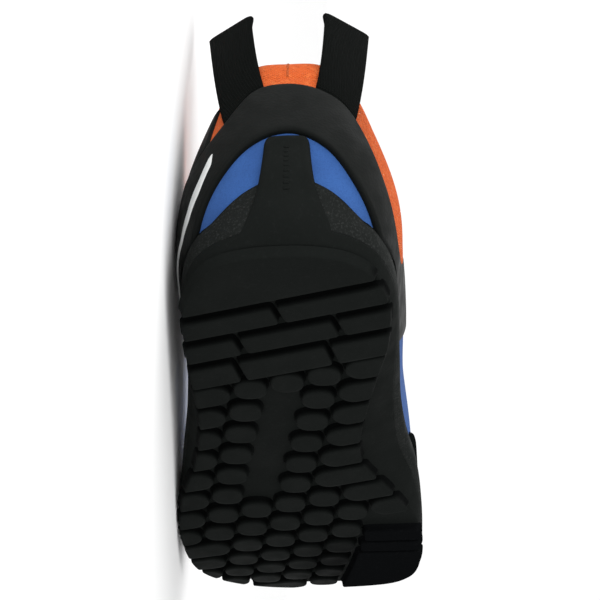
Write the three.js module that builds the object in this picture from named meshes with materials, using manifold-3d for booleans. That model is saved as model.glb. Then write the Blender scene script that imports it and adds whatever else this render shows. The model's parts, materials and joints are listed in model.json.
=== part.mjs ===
// A left approach shoe, empty, lying on its lateral side: lugged rubber sole with a heel rib, cup midsole, hollow
// upper on the shape of its last, rubber rand, sling band, padded collar, pull loops, tongue, eyestays and lace.
// Millimetres. It is modelled standing: x to the medial side, y to the toe, z up, origin under the heel. At the end
// the whole shoe is laid on its side, as it rests on a floor.
import * as THREE from "three";
import { mergeVertices } from "three/addons/utils/BufferGeometryUtils.js";
import Module from "manifold-3d";

const wasm = await Module();
wasm.setup();

// Driving sizes
const LENGTH = 285; // outsole, heel to toe
const HEEL_WIDTH = 77; // across the tread at the heel
const BALL_WIDTH = 106; // across the tread at the ball
const COLLAR_HEIGHT = 97; // top of the collar at the back, above the floor
const INSTEP_HEIGHT = 95; // top of the facings above the floor
const HEEL_STACK = 17; // floor to the midsole's bed at the heel
const FORE_STACK = 15; // floor to the midsole's bed at the ball
const OUTSOLE_STACK = 9; // floor to the top of the outsole
const TOE_SPRING = 14; // lift of the sole at the toe
const GAP = 0.3; // air between pieces that meet
const LAYER_GAP = 0.5; // and between layers of curved skin, measured at their edges

// Tread
const LUG_DEPTH = 3.5;
const LUG_PITCH = 15.4; // from row to row, along the shoe
const LUG_WIDTH = 12.4;
const LUG_LENGTH = 11.4;
const LUG_COLUMN = 15.6; // from column to column, across the shoe
const GROOVE = 5; // heel grooves
const SLANT = -0.27; // rise of a row across the shoe, lateral side forward
const LEAN = -0.21; // drift of a column along the shoe, to the lateral side

// Upper and what is laid on it
const UPPER_WALL = 2;
const CUP_WALL = 3; // midsole wall outside the upper
const OVERLAY = 1.6; // rand, band, panel and eyestays
const PAD = 9; // collar padding, inside the upper
const ROLL = 12; // collar above the upper's edge, at the back
const TONGUE = 4;
const INSOLE = 4;
const WEBBING_WIDTH = 22;
const WEBBING = 1.6;
const LOOP_RISE = 29; // pull loop above the collar
const LACE = 4.2;
const EYELET_PAIRS = 5;
const EYELET_HOLE = 5;
const EYELET_RING = 2; // width of the ring round the hole

// Heel rib, moulded in one with the outsole
const RIB_HEIGHT = 52;
const RIB_DEPTH = 3;

// The last, one row for each rib of the shoe from heel to toe. y is a share of the length, x a share of the local
// width, out to the lateral side and in to the medial one. wall is the sole at its widest, tread its print on the
// floor, and fore how far the local width has gone from heel width to ball width.
const SOLE_ROWS = [
  { wallY: 0, wallOut: -0.032, wallIn: 0.032, treadY: 0.026, treadOut: -0.01, treadIn: 0.01, fore: 0 },
  { wallY: 0.01, wallOut: 0.165, wallIn: 0.225, treadY: 0.03, treadOut: 0.17, treadIn: 0.17, fore: 0 },
  { wallY: 0.034, wallOut: 0.325, wallIn: 0.37, treadY: 0.045, treadOut: 0.32, treadIn: 0.32, fore: 0 },
  { wallY: 0.072, wallOut: 0.44, wallIn: 0.472, treadY: 0.078, treadOut: 0.415, treadIn: 0.43, fore: 0 },
  { wallY: 0.14, wallOut: 0.513, wallIn: 0.54, treadY: 0.14, treadOut: 0.5, treadIn: 0.503, fore: 0 },
  { wallY: 0.228, wallOut: 0.532, wallIn: 0.552, treadY: 0.228, treadOut: 0.519, treadIn: 0.494, fore: 0 },
  { wallY: 0.323, wallOut: 0.522, wallIn: 0.532, treadY: 0.323, treadOut: 0.494, treadIn: 0.407, fore: 0.1 },
  { wallY: 0.421, wallOut: 0.51, wallIn: 0.49, treadY: 0.421, treadOut: 0.45, treadIn: 0.313, fore: 0.35 },
  { wallY: 0.519, wallOut: 0.506, wallIn: 0.469, treadY: 0.519, treadOut: 0.456, treadIn: 0.273, fore: 0.65 },
  { wallY: 0.614, wallOut: 0.515, wallIn: 0.487, treadY: 0.614, treadOut: 0.508, treadIn: 0.379, fore: 0.85 },
  { wallY: 0.709, wallOut: 0.528, wallIn: 0.485, treadY: 0.709, treadOut: 0.521, treadIn: 0.46, fore: 1 },
  { wallY: 0.8, wallOut: 0.524, wallIn: 0.49, treadY: 0.8, treadOut: 0.515, treadIn: 0.478, fore: 1 },
  { wallY: 0.877, wallOut: 0.481, wallIn: 0.485, treadY: 0.877, treadOut: 0.474, treadIn: 0.472, fore: 1 },
  { wallY: 0.938, wallOut: 0.375, wallIn: 0.44, treadY: 0.937, treadOut: 0.366, treadIn: 0.432, fore: 1 },
  { wallY: 0.983, wallOut: 0.195, wallIn: 0.335, treadY: 0.981, treadOut: 0.187, treadIn: 0.325, fore: 1 },
  { wallY: 1, wallOut: -0.08, wallIn: 0.08, treadY: 0.997, treadOut: -0.08, treadIn: 0.08, fore: 1 },
];

// The upper's top edge on each rib, the same rows. tall is a share of the collar's height at the heel and of the
// instep's in front. round bends the rib from a straight wall, 0, to a full quarter ellipse, 1. bulgeOut and bulgeIn
// are shares of the local width, and rim is how far the cup stands above the bed, as a share of the heel's stack.
const TOP_ROWS = [
  { y: 0.032, out: -0.032, in: 0.032, tall: 0.907, round: 0, bulgeOut: 0.05, bulgeIn: 0.05, rim: 0.88 },
  { y: 0.036, out: 0.125, in: 0.19, tall: 0.907, round: 0, bulgeOut: 0.05, bulgeIn: 0.05, rim: 0.62 },
  { y: 0.053, out: 0.235, in: 0.295, tall: 0.896, round: 0, bulgeOut: 0.06, bulgeIn: 0.06, rim: 0.2 },
  { y: 0.084, out: 0.32, in: 0.38, tall: 0.866, round: 0.02, bulgeOut: 0.07, bulgeIn: 0.07, rim: 0.07 },
  { y: 0.14, out: 0.4, in: 0.465, tall: 0.794, round: 0.1, bulgeOut: 0.07, bulgeIn: 0.07, rim: 0.14 },
  { y: 0.218, out: 0.455, in: 0.525, tall: 0.742, round: 0.2, bulgeOut: 0.06, bulgeIn: 0.05, rim: 0.2 },
  { y: 0.302, out: 0.45, in: 0.515, tall: 0.775, round: 0.3, bulgeOut: 0.055, bulgeIn: 0.06, rim: 0.21 },
  { y: 0.37, out: 0.36, in: 0.42, tall: 0.861, round: 0.45, bulgeOut: 0.05, bulgeIn: 0.075, rim: 0.21 },
  { y: 0.422, out: 0.22, in: 0.255, tall: 0.961, round: 0.6, bulgeOut: 0.035, bulgeIn: 0.07, rim: 0.22 },
  { y: 0.498, out: 0.17, in: 0.19, tall: 0.902, round: 0.72, bulgeOut: 0.028, bulgeIn: 0.045, rim: 0.25 },
  { y: 0.579, out: 0.145, in: 0.16, tall: 0.8, round: 0.82, bulgeOut: 0.022, bulgeIn: 0.022, rim: 0.27 },
  { y: 0.656, out: 0.125, in: 0.135, tall: 0.7, round: 0.9, bulgeOut: 0.018, bulgeIn: 0.018, rim: 0.27 },
  { y: 0.714, out: 0.1, in: 0.108, tall: 0.625, round: 0.95, bulgeOut: 0.012, bulgeIn: 0.012, rim: 0.27 },
  { y: 0.743, out: 0.072, in: 0.078, tall: 0.588, round: 1, bulgeOut: 0.01, bulgeIn: 0.01, rim: 0.27 },
  { y: 0.756, out: 0.038, in: 0.042, tall: 0.572, round: 1, bulgeOut: 0.01, bulgeIn: 0.01, rim: 0.27 },
  { y: 0.76, out: -0.002, in: 0.002, tall: 0.566, round: 1, bulgeOut: 0.01, bulgeIn: 0.01, rim: 0.27 },
];
const TOE = SOLE_ROWS.length - 1; // the rib number of the toe, and the heel is rib 0
const RIBS = 2 * TOE; // ribs in the whole loop: heel, lateral side, toe, medial side
const SPRING_START = 0.68 * LENGTH;

// Small vector helpers
const mix = (a, b, t) => a + (b - a) * t;
const mixPoint = (p, q, t) => p.map((a, i) => mix(a, q[i], t));
const plus = (p, q, k = 1) => p.map((a, i) => a + k * q[i]);
const minus = (p, q) => p.map((a, i) => a - q[i]);
const dot = (p, q) => p[0] * q[0] + p[1] * q[1] + p[2] * q[2];
const cross = (p, q) => [p[1] * q[2] - p[2] * q[1], p[2] * q[0] - p[0] * q[2], p[0] * q[1] - p[1] * q[0]];
const unit = (p) => p.map((a) => a / Math.hypot(...p));
const range = (n) => Array.from({ length: n }, (_, i) => i);
const smooth = (t) => (t <= 0 ? 0 : t >= 1 ? 1 : t * t * (3 - 2 * t));

// A column of the tables as one value for each rib of the loop. Lateral x is negative.
function loopOf(rows, pick) {
  return range(RIBS).map((k) => {
    const lateral = k > 0 && k < TOE;
    return pick(rows[k <= TOE ? k : RIBS - k], lateral);
  });
}
const sideX = (out, into) => (row, lateral) => (lateral ? -row[out] : row[into]);
const LOOPS = {
  wallY: loopOf(SOLE_ROWS, (r) => r.wallY),
  wallX: loopOf(SOLE_ROWS, sideX("wallOut", "wallIn")),
  treadY: loopOf(SOLE_ROWS, (r) => r.treadY),
  treadX: loopOf(SOLE_ROWS, sideX("treadOut", "treadIn")),
  fore: loopOf(SOLE_ROWS, (r) => r.fore),
  topY: loopOf(TOP_ROWS, (r) => r.y),
  topX: loopOf(TOP_ROWS, sideX("out", "in")),
  tall: loopOf(TOP_ROWS, (r) => r.tall),
  round: loopOf(TOP_ROWS, (r) => r.round),
  bulge: loopOf(TOP_ROWS, (r, lateral) => (lateral ? r.bulgeOut : r.bulgeIn)),
  rim: loopOf(TOP_ROWS, (r) => r.rim),
};

// The smooth value of a column at place u of the loop, in ribs
function at(name, u) {
  const values = LOOPS[name];
  const i = Math.floor(u);
  const t = u - i;
  const [a, b, c, d] = [-1, 0, 1, 2].map((k) => values[(((i + k) % RIBS) + RIBS) % RIBS]);
  return b + 0.5 * t * (c - a + t * (2 * a - 5 * b + 4 * c - d + t * (3 * (b - c) + d - a)));
}

const widthAt = (u) => mix(HEEL_WIDTH, BALL_WIDTH, at("fore", u));
const spring = (y) => TOE_SPRING * Math.max(0, (y - SPRING_START) / (LENGTH - SPRING_START)) ** 2;
const wall = (u) => [at("wallX", u) * widthAt(u), at("wallY", u) * LENGTH];
const tread = (u) => [at("treadX", u) * widthAt(u), at("treadY", u) * LENGTH];
const bed = (y) => spring(y) + mix(HEEL_STACK, FORE_STACK, smooth((y / LENGTH - 0.2) / 0.5));

// The direction away from the sole's outline, level with the floor
function outward(u) {
  const [ax, ay] = wall(u - 0.02);
  const [bx, by] = wall(u + 0.02);
  return unit([ay - by, bx - ax, 0]);
}

const rimHeight = (u) => bed(wall(u)[1]) + at("rim", u) * HEEL_STACK;

// The upper's outer surface: v goes from 0 on the bed to 1 at the top edge
function skin(u, v) {
  const away = outward(u);
  const [x, y] = plus([...wall(u), 0], away, -(CUP_WALL + GAP));
  const foot = [x, y, bed(y) + GAP];
  const tall = mix(COLLAR_HEIGHT, INSTEP_HEIGHT, at("fore", u));
  const top = [at("topX", u) * widthAt(u), at("topY", u) * LENGTH, at("tall", u) * tall];
  const round = at("round", u);
  const angle = (Math.PI / 2) * v;
  const inward = mix(v, 1 - Math.cos(angle), round);
  const upward = mix(v, Math.sin(angle), round);
  const belly = at("bulge", u) * widthAt(u) * Math.sin(Math.PI * Math.min(Math.max(v, 0), 1) ** 0.85);
  const point = [mix(foot[0], top[0], inward), mix(foot[1], top[1], inward), mix(foot[2], top[2], upward)];
  return plus(point, away, belly);
}

// A point off mm outside the upper's surface, or inside it where off is negative
function offSkin(u, v, off) {
  const step = 0.01;
  const along = minus(skin(u + step, v), skin(u - step, v));
  const lift = minus(skin(u, Math.min(v + step, 1)), skin(u, Math.max(v - step, 0)));
  const normal = unit(cross(lift, along));
  return plus(skin(u, v), normal, off);
}

// The place v where the upper's surface reaches a height
function vAtHeight(u, height) {
  let [low, high] = [0, 1];
  for (const _ of range(24)) {
    const middle = (low + high) / 2;
    if (skin(u, middle)[2] < height) low = middle;
    else high = middle;
  }
  return (low + high) / 2;
}

// A closed solid from points and triangles, turned the right way out
function solid(points, faces) {
  const volume = faces.reduce((sum, [a, b, c]) => sum + dot(points[a], cross(points[b], points[c])), 0);
  const triangles = volume < 0 ? faces.map(([a, b, c]) => [a, c, b]) : faces;
  return new wasm.Manifold(
    new wasm.Mesh({
      numProp: 3,
      vertProperties: new Float32Array(points.flat()),
      triVerts: new Uint32Array(triangles.flat()),
    }),
  );
}

const quad = (a, b, c, d) => [
  [a, b, c],
  [a, c, d],
];

// Rings round the shoe, one above the other. Each end is closed by rungs from the lateral to the medial side.
function stack(rings) {
  const count = rings[0].length;
  const faces = [];
  for (const i of range(rings.length - 1))
    for (const k of range(count)) {
      const next = (k + 1) % count;
      faces.push(...quad(i * count + k, i * count + next, (i + 1) * count + next, (i + 1) * count + k));
    }
  for (const [ring, flip] of [
    [0, true],
    [rings.length - 1, false],
  ])
    for (const k of range(count / 2)) {
      const [a, b, c, d] = [k, k + 1, count - k - 1, (count - k) % count].map((j) => ring * count + j);
      const rungs = [b !== c && [a, b, c], a !== d && [a, c, d]].filter(Boolean);
      faces.push(...rungs.map(([p, q, r]) => (flip ? [q, p, r] : [p, q, r])));
    }
  return solid(rings.flat(), faces);
}

// Closed sections joined one after the other, as a closed loop or with two ends. In each section the first half
// runs one way and the second half runs back, so an end is closed by rungs between the halves.
function shell(sections, closed) {
  const count = sections[0].length;
  const faces = [];
  for (const i of range(closed ? sections.length : sections.length - 1)) {
    const j = (i + 1) % sections.length;
    for (const k of range(count)) {
      const next = (k + 1) % count;
      faces.push(...quad(i * count + k, i * count + next, j * count + next, j * count + k));
    }
  }
  if (!closed)
    for (const [section, flip] of [
      [0, true],
      [sections.length - 1, false],
    ])
      for (const k of range(count / 2 - 1)) {
        const [a, b, c, d] = [k, k + 1, count - 2 - k, count - 1 - k].map((m) => section * count + m);
        faces.push(...quad(a, b, c, d).map(([p, q, r]) => (flip ? [q, p, r] : [p, q, r])));
      }
  return solid(sections.flat(), faces);
}

// A prism between two outlines of as many points, such as a lug between its face and its root
function prism(bottom, top) {
  const count = bottom.length;
  const faces = range(count).flatMap((k) => quad(k, (k + 1) % count, count + ((k + 1) % count), count + k));
  for (const k of range(count - 2)) faces.push([0, k + 2, k + 1], [count, count + k + 1, count + k + 2]);
  return solid([...bottom, ...top], faces);
}

const STATIONS = 48; // places round the shoe
const ring = (place) => range(STATIONS).map((k) => place((k * RIBS) / STATIONS));

// The tread's edge at a length along the shoe, on the lateral side, -1, or the medial one, 1
function treadEdge(y, side) {
  let [low, high] = [0, TOE];
  for (const _ of range(20)) {
    const middle = (low + high) / 2;
    if (tread(middle)[1] < y) low = middle;
    else high = middle;
  }
  return tread(side < 0 ? low : RIBS - low)[0];
}

const TALL = 60; // cutting prisms reach this far above and below the floor
const upright = (outline) => prism(outline.map(([x, y]) => [x, y, -TALL]), outline.map(([x, y]) => [x, y, TALL]));
const FIRST_GROOVE = 0.1235 * LENGTH; // middle of the first heel groove, on the centre line
const FIRST_ROW = 0.311 * LENGTH; // middle of the first row of round lugs, on the centre line
const MIDDLE_STRIP = [0.32 * LENGTH, 0.6 * LENGTH]; // smooth strip down the middle of the arch
const CLIMB_START = 0.81 * LENGTH; // smooth climbing zone under the big toe
const EDGE_BARS = 0.73 * LENGTH; // short bars behind the climbing zone
const LUG_SIDES = 7;

// A slanted bar across the shoe, between two x and centred on y at the centre line
function bar(x1, x2, y, width, slant = SLANT) {
  const corner = (x, k) => [x, y + slant * x + (k * width) / 2];
  return upright([corner(x1, -1), corner(x2, -1), corner(x2, 1), corner(x1, 1)]);
}

function roundLug(x, y) {
  return upright(
    range(LUG_SIDES).map((i) => {
      const angle = (2 * Math.PI * (i + 0.5)) / LUG_SIDES;
      return [x + 0.54 * LUG_WIDTH * Math.cos(angle), y + 0.54 * LUG_LENGTH * Math.sin(angle)];
    }),
  );
}

// The heel's lugs are what three slanted grooves and their staggered cuts leave standing
function heelLugs() {
  const reach = HEEL_WIDTH;
  const end = FIRST_GROOVE + 3 * LUG_PITCH;
  const corner = (x, y) => [x, y + SLANT * x];
  let lugs = upright([[-reach, -reach], [reach, -reach], corner(reach, end), corner(-reach, end)]);
  const cuts = [[-0.04], [-0.24, 0.25], [-0.26, 0.21]]; // shares of the heel width, for each groove
  cuts.forEach((row, i) => {
    const y = FIRST_GROOVE + i * LUG_PITCH;
    lugs = lugs.subtract(bar(-reach, i ? reach : 0.4 * HEEL_WIDTH, y, GROOVE));
    for (const share of row) {
      const x = share * HEEL_WIDTH;
      const middle = y + SLANT * x + LUG_PITCH / 2;
      const half = 0.24 * GROOVE;
      const skew = 0.1 * LUG_PITCH;
      lugs = lugs.subtract(
        upright([
          [x - half - skew, middle - LUG_PITCH / 2],
          [x + half - skew, middle - LUG_PITCH / 2],
          [x + half + skew, middle + LUG_PITCH / 2],
          [x - half + skew, middle + LUG_PITCH / 2],
        ]),
      );
    }
  });
  return lugs;
}

// Rows of round lugs on a leaning grid. The outermost lug of a row runs out to the tread's edge.
function fieldLugs() {
  const lugs = [];
  const rows = Math.ceil((LENGTH - FIRST_ROW) / LUG_PITCH) + 1;
  for (const j of range(rows)) {
    const line = FIRST_ROW + j * LUG_PITCH;
    const kept = [];
    for (let k = -3; k <= 8; k++) {
      const x = ((k - 2) * LUG_COLUMN + LEAN * (line - FIRST_ROW) - 0.02 * BALL_WIDTH) / (1 + LEAN * SLANT);
      const y = line + SLANT * x;
      if (y > LENGTH) continue;
      if (x < treadEdge(y, -1) - 0.1 * LUG_WIDTH || x > treadEdge(y, 1) - 0.3 * LUG_WIDTH) continue;
      if (k === 2 && y > MIDDLE_STRIP[0] && y < MIDDLE_STRIP[1]) continue;
      if (y > EDGE_BARS - LUG_LENGTH / 2 && x > climbEdge(y) - LUG_WIDTH / 2) continue;
      kept.push([x, y]);
    }
    kept.forEach(([x, y], i) => {
      lugs.push(roundLug(x, y));
      if (i === 0) lugs.push(bar(x - BALL_WIDTH / 3, x, y - SLANT * x, 0.86 * LUG_LENGTH));
      if (i === kept.length - 1 && y < EDGE_BARS - LUG_PITCH / 2)
        lugs.push(bar(x, x + BALL_WIDTH / 3, y - SLANT * x, 0.86 * LUG_LENGTH));
    });
  }
  return lugs;
}

const climbEdge = (y) => mix(0.25, 0.13, (y - EDGE_BARS) / (LENGTH - EDGE_BARS)) * BALL_WIDTH;

function climbingZone() {
  const outline = [CLIMB_START, mix(CLIMB_START, LENGTH, 0.5), LENGTH + 5].map((y) => [climbEdge(y), y]);
  return upright([...outline, [BALL_WIDTH, LENGTH + 5], [BALL_WIDTH, CLIMB_START]]);
}

function edgeBars() {
  const count = 2;
  const pitch = (CLIMB_START - EDGE_BARS) / count;
  return range(count).map((i) => {
    const y = EDGE_BARS + (i + 0.42) * pitch;
    return bar(climbEdge(y), BALL_WIDTH, y, 0.82 * pitch, 0);
  });
}

// The heel rib runs up the back of the shoe from the sole. half is its half width in ribs of the shoe.
const RIB_ROWS = [
  { height: 0.1, half: 1.12, depth: 0.3, inside: true },
  { height: 0.165, half: 1.06, depth: 0.45, inside: true },
  { height: 0.182, half: 1.04, depth: 0.5 },
  { height: 0.35, half: 0.92, depth: 0.85 },
  { height: 0.6, half: 0.72, depth: 1 },
  { height: 0.8, half: 0.6, depth: 1 },
  { height: 0.95, half: 0.5, depth: 0.85 },
  { height: 1, half: 0.42, depth: 0.5 },
];
function heelRib() {
  const across = 7;
  const reach = (u, point) => dot(minus(point, [...wall(u), 0]), outward(u)); // how far out from the sole's wall
  const ontoCup = (u, z) => {
    const rim = rimHeight(u);
    const waist = mix(bed(wall(u)[1]), rim, 0.45);
    const edge = reach(u, offSkin(u, vAtHeight(u, rim), LAYER_GAP + RIM_EDGE));
    return mix(0, edge, Math.min(Math.max((z - waist) / (rim - waist), 0), 1));
  };
  const ontoUpper = (u, z) => reach(u, skin(u, vAtHeight(u, z))) + LAYER_GAP;
  return shell(
    RIB_ROWS.map(({ height, half, depth, inside }) => {
      const z = height * RIB_HEIGHT;
      const place = (t, off) => {
        const u = t * half;
        const above = smooth((z - rimHeight(u) - 1) / (0.25 * RIB_HEIGHT));
        const base = mix(ontoCup(u, z), ontoUpper(u, z), above);
        return plus([...wall(u), z], outward(u), base + off);
      };
      const t = range(across).map((i) => (2 * i) / (across - 1) - 1);
      const crown = (s) => GAP + RIB_DEPTH * depth * (1 - 0.75 * s ** 4);
      const outer = t.map((s) => place(s, crown(s)));
      const inner = t.map((s) => place(s, inside ? -2 * CUP_WALL : GAP)).reverse();
      return [...outer, ...inner];
    }),
    false,
  );
}

const soleRing = (share, height) =>
  ring((u) => {
    const [x, y] = mixPoint(tread(u), wall(u), share);
    return [x, y, height + spring(y)];
  });

function outsole() {
  const root = 1; // how far the lugs reach into the plate
  const plate = stack([
    soleRing(0, LUG_DEPTH),
    soleRing(0.5, mix(LUG_DEPTH, OUTSOLE_STACK, 0.5)),
    soleRing(0.8, OUTSOLE_STACK),
  ]);
  const block = stack([soleRing(0, 0), soleRing(0, LUG_DEPTH + root)]);
  const pattern = [heelLugs(), ...fieldLugs(), climbingZone(), ...edgeBars()].reduce((a, b) => a.add(b));
  let body = plate.add(block.intersect(pattern)).add(heelRib());
  for (const notch of edgeNotches()) body = body.subtract(notch);
  return body;
}

// Saw-tooth notches in the sole's lateral edge, between the edge lugs of the forefoot
function edgeNotches() {
  const depth = 0.035 * BALL_WIDTH;
  const notches = [];
  for (const j of range(7)) {
    const line = FIRST_ROW + (j + 6.5) * LUG_PITCH;
    let y = line;
    for (const _ of range(6)) y = line + SLANT * treadEdge(y, -1);
    if (y > 0.96 * LENGTH) continue;
    const x = treadEdge(y, -1);
    const half = 0.36 * (LUG_PITCH - LUG_LENGTH) + 0.6;
    const floor = OUTSOLE_STACK * 0.62 + spring(y);
    const outline = [
      [x - 2 * depth, y - 2 * half],
      [x + depth, y - half * 0.6],
      [x + depth, y + half],
      [x - 2 * depth, y + 2 * half],
    ];
    notches.push(
      prism(
        outline.map(([a, b]) => [a, b, -TALL]),
        outline.map(([a, b]) => [a, b, floor]),
      ),
    );
  }
  return notches;
}

const RIM_EDGE = 1.6; // thickness of the cup's top edge

// The midsole is a cup: a bed for the insole, and a wall that holds the upper's foot
function midsole() {
  const underside = OUTSOLE_STACK + GAP;
  return stack([
    soleRing(0.82, underside),
    ring((u) => {
      const [x, y] = wall(u);
      return [x, y, mix(underside + spring(y), bed(y), 0.5)];
    }),
    ring((u) => {
      const edge = plus([...wall(u), 0], outward(u), -0.1 * CUP_WALL);
      return [edge[0], edge[1], mix(bed(edge[1]), rimHeight(u), 0.45)];
    }),
    ring((u) => offSkin(u, vAtHeight(u, rimHeight(u)), LAYER_GAP + RIM_EDGE)),
    ring((u) => offSkin(u, vAtHeight(u, rimHeight(u)), LAYER_GAP)),
    ring((u) => {
      const [x, y] = offSkin(u, 0, LAYER_GAP);
      return [x, y, bed(y)];
    }),
  ]);
}

const UPPER_LEVELS = [0, 0.1, 0.22, 0.35, 0.48, 0.61, 0.73, 0.84, 0.93, 1];
function upper() {
  const sections = range(STATIONS).map((k) => {
    const u = (k * RIBS) / STATIONS;
    const outer = UPPER_LEVELS.map((v) => skin(u, v));
    const inner = UPPER_LEVELS.map((v) => offSkin(u, v, -UPPER_WALL)).reverse();
    const foot = inner[inner.length - 1];
    foot[2] = outer[0][2];
    return [...outer, ...inner];
  });
  let body = shell(sections, true);
  for (const hole of eyeletHoles()) body = body.subtract(hole);
  return body;
}

const INSOLE_EASE = 1.4; // air round the insole
function insole() {
  const edge = (u, rise) => {
    const [x, y] = offSkin(u, 0.03, -UPPER_WALL - INSOLE_EASE);
    return [x, y, bed(y) + rise];
  };
  return stack([ring((u) => edge(u, GAP)), ring((u) => edge(u, INSOLE))]);
}

const STEP = RIBS / STATIONS; // one station, in ribs
const FACINGS_START = 13; // stations of the facings, on both sides of the throat
const FACINGS_END = 22;
const stations = (first, last) => range(last - first + 1).map((k) => (first + k) * STEP);

// A layer on the upper between two heights on each rib, given as places v
function overlay(places, low, high, rows, thickness = OVERLAY, gap = LAYER_GAP) {
  const sections = places.map((u) => {
    const levels = range(rows + 1).map((k) => mix(low(u), high(u), k / rows));
    const outer = levels.map((v) => offSkin(u, v, gap + thickness));
    const inner = levels.map((v) => offSkin(u, v, gap)).reverse();
    return [...outer, ...inner];
  });
  return shell(sections, false);
}

// The smooth value of a column given for each rib from the heel, the same on both sides of it
function tabled(rows, column, u) {
  const rib = Math.min(Math.abs(u > TOE ? RIBS - u : u), rows.length - 1.001);
  const i = Math.floor(rib);
  const [a, b, c, d] = [-1, 0, 1, 2].map((k) => rows[Math.min(Math.abs(i + k), rows.length - 1)][column]);
  const t = rib - i;
  return b + 0.5 * t * (c - a + t * (2 * a - 5 * b + 4 * c - d + t * (3 * (b - c) + d - a)));
}
const aboveRim = (u) => vAtHeight(u, rimHeight(u) + 2 * GAP);

const RAND_TOE = 12; // rand above the cup at the toe
const RAND_SIDE = 9; // and along the sides
const RAND_LATERAL = 14; // station of its lateral end
const RAND_MEDIAL = 34;
function toeRand() {
  const high = (u) => {
    const forward = smooth((wall(u)[1] / LENGTH - 0.62) / 0.36);
    const toEnd = Math.min(u / STEP - RAND_LATERAL + 1, RAND_MEDIAL + 1 - u / STEP);
    const rise = mix(0.35, 1, smooth(0.5 * toEnd)) * mix(RAND_SIDE, RAND_TOE, forward);
    return vAtHeight(u, rimHeight(u) + 2 * GAP + rise);
  };
  return overlay(stations(RAND_LATERAL, RAND_MEDIAL), aboveRim, high, 4);
}

// The sling band, one row for each rib from the heel: its edges on the lateral side, Out, and the medial one, In, as
// shares of the collar's height. On the medial side it is narrow at the ankle and then climbs to the facing.
const BAND_ROWS = [
  { topOut: 0.855, topIn: 0.855, lowOut: 0.561, lowIn: 0.561 },
  { topOut: 0.823, topIn: 0.817, lowOut: 0.505, lowIn: 0.492 },
  { topOut: 0.66, topIn: 0.725, lowOut: 0.364, lowIn: 0.336 },
  { topOut: 0.56, topIn: 0.41, lowOut: 0.2, lowIn: 0.2 },
  { topOut: 0.56, topIn: 0.285, lowOut: 0.12, lowIn: 0.12 },
  { topOut: 0.53, topIn: 0.4, lowOut: 0.1, lowIn: 0.12 },
  { topOut: 0.46, topIn: 0.63, lowOut: 0.1, lowIn: 0.21 },
  { topOut: 0.37, topIn: 0.75, lowOut: 0.1, lowIn: 0.48 },
  { topOut: 0.3, topIn: 0.76, lowOut: 0.1, lowIn: 0.62 },
];
const BAND_GAP = 0.9; // under the band, because it climbs across the ribs
const BAND_END = 11; // station of the band's lateral end, and the medial one is a station further
const bandEdge = (edge, u) => tabled(BAND_ROWS, edge + (u < 0 ? "In" : "Out"), u) * COLLAR_HEIGHT;
const bandTop = (u) => vAtHeight(u, bandEdge("top", u));
function heelBand() {
  const low = (u) => vAtHeight(u, Math.max(bandEdge("low", u), rimHeight(u) + 2 * GAP));
  return overlay(stations(-BAND_END - 1, BAND_END), low, bandTop, 7, OVERLAY, BAND_GAP);
}

// Panels over the band's upper edge, up to the collar, one row for each rib from the heel: their upper edges as
// places v. The side panel is on the lateral side and the ankle panel goes round the heel to the medial one.
const PANEL_ROWS = [
  { side: 0.9, ankle: 0.985 },
  { side: 0.92, ankle: 0.985 },
  { side: 0.93, ankle: 0.985 },
  { side: 0.94, ankle: 0.985 },
  { side: 0.95, ankle: 0.985 },
  { side: 0.95, ankle: 0.97 },
  { side: 0.93, ankle: 0.93 },
  { side: 0.86, ankle: 0.86 },
  { side: 0.76, ankle: 0.76 },
];
const PANEL_SEAM = 4; // station where the two panels meet
const ANKLE_END = -8;
const ANKLE_KNIT = 1;
function panel(places, column, thickness) {
  const low = (u) => Math.max(bandTop(u) + 0.015, aboveRim(u));
  const high = (u) => tabled(PANEL_ROWS, column, u);
  return overlay(places, low, high, 5, thickness);
}
const sidePanel = () => panel(stations(PANEL_SEAM, FACINGS_START), "side", OVERLAY);
const anklePanel = () => {
  const places = stations(ANKLE_END, PANEL_SEAM);
  places[places.length - 1] -= 0.05 * STEP;
  return panel(places, "ankle", ANKLE_KNIT);
};

const COLLAR_END = 12; // station of each end of the collar
function collar() {
  const sections = stations(-COLLAR_END, COLLAR_END).map((u) => {
    const edge = skin(u, 1);
    const lift = unit(minus(edge, skin(u, 0.97)));
    const out = unit(minus(offSkin(u, 1, 1), edge));
    const taper = mix(0.3, 1, smooth((COLLAR_END * STEP - Math.abs(u)) / (4 * STEP)));
    const inside = UPPER_WALL + LAYER_GAP;
    const pad = inside + PAD * taper;
    const roll = ROLL * mix(0.45, 1, smooth((COLLAR_END * STEP - Math.abs(u)) / (7 * STEP)));
    const above = (rise, off) => plus(plus(edge, lift, rise), out, off);
    return [
      offSkin(u, 0.73, -inside),
      offSkin(u, 0.84, -inside),
      above(LAYER_GAP, -inside),
      above(LAYER_GAP, 0.6),
      above(0.45 * roll, 0.9),
      above(0.85 * roll, -0.5),
      above(roll, -0.4 * pad),
      above(0.8 * roll, -0.75 * pad),
      above(0.1 * roll, -pad),
      offSkin(u, 0.9, -pad - 0.1 * PAD * taper),
      offSkin(u, 0.8, -mix(inside, pad, 0.85)),
      offSkin(u, 0.73, -mix(inside, pad, 0.3)),
    ];
  });
  return shell(sections, false);
}

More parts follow.
